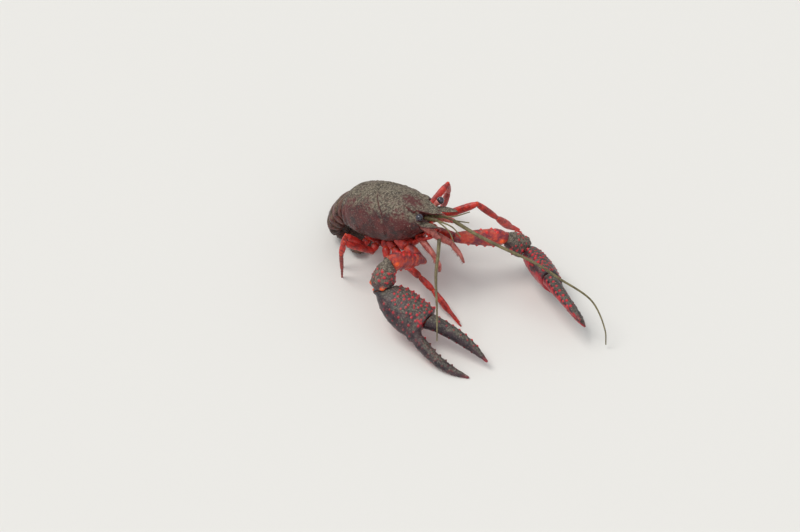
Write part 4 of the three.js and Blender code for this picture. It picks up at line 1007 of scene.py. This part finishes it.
base_places = [(share, angle) for share in (0.4, 0.6, 0.8) for angle in (-2, -1.1)]
merus_places = [(0.28 + 0.16 * k, angle) for k in range(4) for angle in (-1.05, -2.1)] + [(0.76, 1.57)]
merus_places += [(0.3 + 0.1 * k, 1.2 + 0.7 * (k % 2)) for k in range(6)]
carpus_places = [(0.28 + 0.15 * row, 0.72 * k + 0.36 * (row % 2)) for row in range(3) for k in range(9)]
draw = np.random.default_rng(23)
grain_places = list(zip(draw.uniform(0.15, 0.85, CARPUS_GRAINS), draw.uniform(0, 6.28, CARPUS_GRAINS)))
carpus_wide = np.r_[draw.uniform(0.6, 1.0, len(carpus_places)), draw.uniform(0.25, 0.5, CARPUS_GRAINS)]
for side, (tips, roll, scale, opened) in CLAW.items():
    limb_name = f"claw_{side}"
    inner = -SIDES[side]
    tips = np.array(tips)
    root = hip("claw", side)
    ischium, knee, wrist = np.array(POSE[limb_name], float)
    ischium_planes = joint_planes(root, ischium, knee)
    knee_planes, wrist_planes = joint_planes(ischium, knee, wrist), joint_planes(knee, wrist, tips)
    arm_piece(f"{limb_name}_base", [root, ischium], BASE_PROFILE,
              [hip_plane(root, ischium), ischium_planes[0]], base_places, 0.8, 0.5, 11, arm_finish)
    arm_piece(f"{limb_name}_merus", [ischium, knee], MERUS_PROFILE, [ischium_planes[1], knee_planes[0]],
              merus_places, 1.0, 0.8, 12, arm_finish, [(0.9, 0.1), (0.9, np.pi - 0.1)])
    arm_piece(f"{limb_name}_carpus", [knee, wrist], CARPUS_PROFILE, [knee_planes[1], wrist_planes[0]],
              carpus_places + grain_places, carpus_wide, carpus_wide * 0.75, 13, wrist_finish,
              [(0.83, 0.95), (0.83, np.pi - 0.65)])

    along, level, back = bone_axes(wrist, tips)
    turn = -inner * np.radians(roll)
    across = level * np.cos(turn) - back * np.sin(turn)
    axes = np.stack([along, across, np.cross(along, across)], 1)
    plane = ((wrist_planes[1][0] - wrist) @ axes / scale, wrist_planes[1][1] @ axes)
    palm = make_palm(f"{limb_name}_palm_shell", inner, plane)
    spots = points_of(palm) * scale @ axes.T + wrist
    spots[:, 2] = np.maximum(spots[:, 2], 0)
    move_points(palm, spots)
    dress(palm, claw_finish, f"{limb_name}_palm")

    swing = np.radians(opened)
    finger = make_finger(f"{limb_name}_finger_shell", inner, swing)
    opening = np.array(Matrix.Rotation(inner * swing, 3, "Z"))
    hinge = np.array([HINGE[0], inner * HINGE[1], 0])
    move_points(finger, (points_of(finger) @ opening.T + hinge) * scale @ axes.T + wrist)
    dress(finger, claw_finish, f"{limb_name}_finger")


# Eyes: a short stalk out of the orbit, and the dark, faintly faceted cornea that caps it. Both
# follow one line, and the cornea starts as wide as the stalk ends.
STALK_ROOT = np.array([-9.7, 5.2, -0.6])
STALK_SHARE = 0.72
STALK_PROFILE = [(0, 0.9, 0.9), (0.3, 1, 1), (0.6, 1.1, 1.1), (0.85, 1.4, 1.35), (1, 1.32, 1.27)]
CORNEA_PROFILE = [(0, 1.32, 1.27), (0.1, 1.5, 1.46), (0.2, 1.63, 1.59), (0.35, 1.7, 1.66),
                  (0.5, 1.66, 1.62), (0.65, 1.5, 1.47), (0.8, 1.17, 1.15), (0.9, 0.84, 0.82),
                  (0.96, 0.52, 0.5), (0.995, 0.12, 0.12)]
EYE_PURPLE = tint(52, 50, 70)
EYE_BLACK = tint(18, 18, 30)
EYE_ROUGHNESS = 0.16
EYE_COAT = 0.6
FACET_CELLS = 7000.0
FACET_DEPTH = 0.00005
CLOUD_CELLS = 900.0

eye_finish, eye_tree, eye_shader = new_material("cornea")
eye_cloud = spread(eye_tree, noise(eye_tree, CLOUD_CELLS, 3.0, 0.5), 0.4, 0.7)
eye_colour = blend_colour(eye_tree, eye_cloud, EYE_BLACK, EYE_PURPLE)
facets = cell_distance(eye_tree, FACET_CELLS, 0.15)
eye_bump = put(eye_tree, "ShaderNodeBump", Strength=0.25, Distance=FACET_DEPTH, Height=facets)
eye_tree.links.new(eye_colour, eye_shader.inputs["Base Color"])
eye_tree.links.new(eye_bump.outputs["Normal"], eye_shader.inputs["Normal"])
eye_shader.inputs["Roughness"].default_value = EYE_ROUGHNESS
eye_shader.inputs["Coat Weight"].default_value = EYE_COAT

for side, s in SIDES.items():
    root, eye = STALK_ROOT * [1, s, 1], EYE_AT * [1, s, 1]
    along = unit(eye - root)
    middle = root + (eye - root) * STALK_SHARE
    rings = limb_rings([root - 0.9 * along, middle], [STALK_PROFILE], [None, None], 40, 0.12)
    stalk = piece_of(f"eyestalk_{side}_skin", closed_skin(rings, 4))
    ruffle(stalk, 31, 0.05, 0.9)
    move_points(stalk, on_trunk(points_of(stalk)))
    dress(stalk, rose_finish, f"eyestalk_{side}")
    rings = limb_rings([middle, eye + along * 1.5], [CORNEA_PROFILE], [None, None], 48, 0.07)
    cornea = piece_of(f"eye_{side}_cornea", closed_skin(rings, 2))
    move_points(cornea, on_trunk(points_of(cornea)))
    dress(cornea, eye_finish, f"eye_{side}")


# Feelers: the antennule with its two short whips, the antenna's stout stem with its leaf-like
# scale, and the long whip of hundreds of short rings. Olive-brown, flexible.
FEELERS = {
    "right": {
        "stem": [on_trunk([-4.2, -5.2, -6.6]), (2.9, -5.2, 33.4)],
        "whip": [(6.4, -10.7, 30), (9.8, -17, 27), (14.8, -23.9, 23.4), (20.4, -31.1, 20),
                 (27.7, -41.2, 13.4)],
        "short": [(7.5, -1.6, 40.6), (13.5, -3.6, 39.6)],
        "shorter": [(7, -3.2, 38.8), (11.5, -6, 36.8)],
    },
    "left": {
        "stem": [on_trunk([-4.2, 5.2, -6.2]), (3.2, 6, 36.2)],
        "whip": [(15, 5.4, 35.4), (28.8, 7.3, 33), (44, 10.3, 30), (56.4, 11.9, 26), (71.6, 15.1, 18.4),
                 (81.3, 11.6, 9), (83.2, 10, 2.2)],
        "short": [(4.9, 3.3, 42), (9.6, 9, 43)],
        "shorter": [(5.2, 3.4, 39.6), (11, 6.6, 39)],
    },
}
ANTENNULE_STALK = [(0, 0.95, 1), (0.3, 1, 1.12), (0.36, 0.82, 0.86), (0.42, 0.95, 1), (0.66, 0.95, 0.98),
                   (0.71, 0.78, 0.8), (0.77, 0.88, 0.9), (1, 0.72, 0.72)]
ANTENNA_STEM = [[(0, 1.7, 1.8), (0.5, 1.85, 1.95), (0.8, 1.7, 1.8), (0.86, 1.45, 1.5), (1, 1.4, 1.45)],
                [(0.25, 1.35, 1.4), (0.5, 1.32, 1.37), (0.56, 1.05, 1.1), (0.64, 1.15, 1.2),
                 (0.9, 1.1, 1.1), (1, 0.9, 0.9)]]
FACE_X = HEAD_FRONT + GAP
SCALE_ROOT = 0.8
SCALE_TIP = 11.6


def smooth_path(knots, count):
    """Centripetal curve through the knots, each span the cubic through its two ends whose slopes
    come from unequal steps sqrt(distance), taken at `count` even steps of its length."""
    p = np.array(knots, float)
    p = np.concatenate([[2 * p[0] - p[1]], p, [2 * p[-1] - p[-2]]])
    t = np.linspace(0, 1, 60)[:, None]
    spans = []
    for i in range(len(p) - 3):
        p0, p1, p2, p3 = p[i:i + 4]
        d0, d1, d2 = (np.linalg.norm(v) ** 0.5 for v in (p1 - p0, p2 - p1, p3 - p2))
        m1 = d1 * ((p1 - p0) / d0 - (p2 - p0) / (d0 + d1) + (p2 - p1) / d1)
        m2 = d1 * ((p2 - p1) / d1 - (p3 - p1) / (d1 + d2) + (p3 - p2) / d2)
        step = p2 - p1
        spans.append(p1 + t * m1 + t**2 * (3 * step - 2 * m1 - m2) + t**3 * (m1 + m2 - 2 * step))
    path = np.concatenate([spans[0]] + [span[1:] for span in spans[1:]])
    run = np.r_[0, np.cumsum(np.linalg.norm(np.diff(path, axis=0), axis=1))]
    at = np.linspace(0, run[-1], count)
    return np.stack([np.interp(at, run, path[:, k]) for k in range(3)], -1), run[-1]


def whip_skin(knots, thick, thin, around=14, ring_length=0.55, swell=0.07):
    """A tapering whip of short rings: radius * (1 + swell * (sin of the ring phase)^2)."""
    count = int(smooth_path(knots, 2)[1] / ring_length * 5)
    path, length = smooth_path(knots, count)
    along = np.gradient(path, axis=0)
    along /= np.linalg.norm(along, axis=1)[:, None]
    side = np.cross(UP, along)
    side /= np.linalg.norm(side, axis=1)[:, None]
    top = np.cross(along, side)
    run = np.linspace(0, 1, count)
    phase = np.pi * run * length / ring_length
    radius = (thick + (thin - thick) * run) * (1 + swell * np.sin(phase) ** 2)
    a, b = oval(around, radius, radius)
    return closed_skin(path[:, None] + a[..., None] * side[:, None] + b[..., None] * top[:, None], 1)


def scale_blade(s):
    """The leaf-like scale beside an antenna, with a rib near its outer edge, on the trunk's face."""
    x = np.concatenate([np.linspace(-SCALE_ROOT, 11.2, 70), [11.4, SCALE_TIP]])
    half = through((-SCALE_ROOT, 0.8), (0, 0.9), (3, 1.95), (7, 1.8), (10, 0.9), (SCALE_TIP, 0.2))(x)
    a, b = oval(36, half, through((0, 0.7), (5, 0.55), (SCALE_TIP, 0.2))(x))
    rib = 0.25 * ridge(s * a / half[:, None] - 0.75, 0.16) * np.sign(b)
    blade = sections(x, s * x[:, None] * 0.03 + a, b + rib)
    return closed_skin(on_trunk(blade + [FACE_X, s * 6.9, -2.6]), 2)


forward = TRUNK_AXES[:, 0]
for side, s in SIDES.items():
    stem, whip, short, shorter = (FEELERS[side][part] for part in ("stem", "whip", "short", "shorter"))
    root, fork = on_trunk([FACE_X, s * 1.5, -2.6]), on_trunk([-2.6, s * 1.7, -2.8])
    stalk = limb_rings([root, fork], [ANTENNULE_STALK], [(root, forward), None], 24, 0.15)
    inside = fork - 0.8 * forward
    antennule = piece_of(f"antennule_{side}_whips", closed_skin(stalk, 2),
                         whip_skin([inside, *short], 0.42, 0.25, 10, 0.5),
                         whip_skin([inside, *shorter], 0.38, 0.25, 10, 0.5))
    dress(antennule, feeler_finish, f"antennule_{side}")

    root = on_trunk([FACE_X, s * 4.6, -5])
    faces = joint_planes(*np.array([*stem, whip[0]], float))
    rings = limb_rings([root, *stem], ANTENNA_STEM, [(root, forward), faces[0]], 32, 0.2)
    base = piece_of(f"antenna_base_{side}_shell", closed_skin(rings, 3))
    ruffle(base, 33, 0.06, 1.3, (root, forward))
    dress(base, rose_finish, f"antenna_base_{side}")

    lash = piece_of(f"antenna_{side}_whip", whip_skin([stem[1], faces[1][0], *whip], 0.85, 0.26))
    dress(lash, feeler_finish, f"antenna_{side}")

    blade = piece_of(f"antennal_scale_{side}_blade", scale_blade(s))
    dress(blade, back_finish, f"antennal_scale_{side}")


# Abdomen: six arched rings that curl down and under, each sleeved into the one before it, with
# side lobes that hang over the belly. Smooth dark shell with a rolled edge behind.
RING_LENGTH = 6.1
RING_PITCH = (19, 49, 58, 71, 101, 138, 172)
RING_YAW = (0, 6, 12, 16, 18, 18, 18)
RING_HALF = (10, 10.2, 10, 9.6, 9, 8, 6.4)
RING_HEIGHT = (10.6, 10.2, 9.8, 9.2, 7.9, 6.5, 4.8)
LOBE_DROP = (0, 1.4, 1.8, 1.8, 1.6, 1.2, 0.6)
TAIL_START = on_trunk([REAR_EDGE - GAP, 0, 2.4])
TAIL_END = 5.999
TAIL_STEP = 0.25
TRIM = GAP / 4
PITS = 90
ring_grow = through((-0.16, 0.8), (-0.1, 0.86), (0, 0.9), (0.2, 0.925), (0.27, 0.99), (0.34, 1.005),
                    (0.44, 1.0), (0.5, 1.012), (0.86, 1.0), (0.9, 0.985), (0.95, 1.01), (1, 0.97))
ring_lobe = through((-0.16, 0.0), (0.05, 0.35), (0.4, 1.0), (0.7, 1.25), (0.9, 1.0), (1, 0.75))


def at_ring(values, b):
    return np.interp(b, np.arange(7), values)


def ring_axes(b):
    return turned(TRUNK_ROLL, at_ring(RING_PITCH, b), at_ring(RING_YAW, b))


def tail_frame(b):
    """Origin on the top line and axes at ring boundary b (fractions allowed): steps of a quarter
    ring backwards along the axes half way through each step."""
    origin = TAIL_START.copy()
    f = 0.0
    while f < b - 1e-6:
        origin -= ring_axes(f + TAIL_STEP / 2)[:, 0] * RING_LENGTH * min(TAIL_STEP, b - f)
        f += TAIL_STEP
    if b < 0:
        origin -= ring_axes(0)[:, 0] * RING_LENGTH * b
    return origin, ring_axes(max(b, 0))


def ring_points(b, grow, lobe, around=120):
    """One section: an arch with a flat belly; the lower corners drop by the side lobes."""
    origin, axes = tail_frame(b)
    half, high = at_ring(RING_HALF, b) * grow, at_ring(RING_HEIGHT, b)
    arch = high * 0.55
    a, c = (row[0] for row in oval(around, half, arch * grow, high - arch, 2.2))
    corner = ramp(abs(a) / half, 0.5, 0.2) * ramp(c, 0, -1.5)
    c = c - arch - at_ring(LOBE_DROP, b) * lobe * corner
    return origin + np.stack([0 * a, a, c], -1) @ axes.T


for n in range(6):
    share = np.concatenate([[-0.16, -0.1, -0.03], np.linspace(0, 0.2, 8), np.linspace(0.215, 0.26, 5),
                            np.linspace(0.29, 0.9, 22), [0.92, 0.94, 0.96, 0.98, 1.0]])
    boundary = np.minimum(n + (TRIM / 2 if n else 0) + share * (1 - TRIM), TAIL_END)
    rings = np.stack([ring_points(*row) for row in zip(boundary, ring_grow(share), ring_lobe(share))])
    piece = piece_of(f"abdomen_{n + 1}_plate", closed_skin(rings, 6))
    spots = points_of(piece)
    seats = spots[np.random.default_rng(40 + n).choice(len(spots), PITS, replace=False)]
    pits, _ = bumps(spots, seats, 0.5, 0.1, 1.0)
    raise_skin(piece, freckles(spots, 41 + n, 0.09, 3.4) - pits)
    dress(piece, tail_finish, f"abdomen_{n + 1}")


# Tail fan: the telson in the middle, and on each side a uropod of two overlapping leaves. Thin
# plates with a rib down each leaf, a hinge line across it and a fringe of hairs.
TIP_HAIRS = 20
EDGE_HAIRS = 34
RIB_STAND = 0.3
HINGE_LINE = 0.22
LIFT_OFF = 0.05
fan_at, fan_axes = tail_frame(TAIL_END)


def leaf_breadth(f, half, start):
    """Half width of a leaf at a share f of its length, `start` being its share of `half` at the root."""
    return half * through((0, start), (0.4, 0.95), (0.7, 1), (0.88, 0.8), (1, 0.3))(f)


def leaf_rings(length, half, thick, start, ribs, around=60):
    """A flat blade along -x, its ribs at shares of the half width and fading to the tip by
    1 - f^2, with a hinge line pressed in across it at six tenths."""
    f = np.concatenate([np.linspace(0, 0.94, 60), [0.955, 0.968, 0.98, 0.99, 1.0]])[:, None]
    breadth = leaf_breadth(f, half, start)
    a, b = oval(around, breadth[:, 0], thick, square=2.4)
    b = b * through((0, 1), (0.8, 0.85), (1, 0.35))(f)
    stand = sum(ridge(a / breadth - place, 0.09) for place in ribs) * RIB_STAND * (1 - f**2)
    line = HINGE_LINE * ridge(f - 0.62, 0.018)
    return sections(-f[:, 0] * length, a, b + np.sign(b) * (stand - line))


def leaf_skins(length, half, thick, start, ribs, angle, shift, seed):
    """A leaf turned about z by angle, with its fringe of hairs from a third of its length on."""
    turn = np.array(Matrix.Rotation(angle, 3, "Z"))
    f = np.linspace(0.35, 1.0, EDGE_HAIRS)
    edge = leaf_breadth(f, half, start) * 0.97
    tip = np.linspace(-0.3, 0.3, TIP_HAIRS) * half
    seats = [np.stack([-f * length, s * edge, 0 * f], -1) for s in (1, -1)]
    seats.append(np.stack([0 * tip - length * 0.985, tip, 0 * tip], -1))
    ways = [np.stack([-0.5 - 0.8 * f, s * (1.25 - f), 0 * f], -1) for s in (1, -1)]
    ways.append(np.tile([-1.0, 0, 0], (TIP_HAIRS, 1)))
    fringe = hairs(np.concatenate(seats), np.concatenate(ways), 1.5, 0.09, seed)
    body = closed_skin(leaf_rings(length, half, thick, start, ribs), 2)
    return [(points @ turn.T + shift, quads, tris) for points, quads, tris in [body, *fringe]]


def fan_piece(name, skins, origin, node):
    """Leaves put at the tail's end, from an origin in its own axes, and kept off the ground."""
    piece = piece_of(name, *skins)
    spots = (points_of(piece) + origin) @ fan_axes.T + fan_at
    spots[:, 2] = np.maximum(spots[:, 2], LIFT_OFF)
    move_points(piece, spots)
    dress(piece, tail_finish, node)


telson = leaf_skins(12.5, 4.6, 0.65, 0.85, (-0.45, 0.45), 0.0, np.zeros(3), 51)
fan_piece("telson_plate", telson, [-GAP, 0, -2.6], "telson")
for side, s in SIDES.items():
    skins = leaf_skins(12, 3.2, 0.6, 0.4, (0.0,), -s * 0.3, np.zeros(3), 52)
    skins += leaf_skins(12, 3.6, 0.6, 0.4, (0.0, 0.5 * s), -s * 0.75, [0, 0, -0.5], 53)
    fan_piece(f"uropod_{side}_plates", skins, [-1.3, s * 4.6, -4.3], f"uropod_{side}")
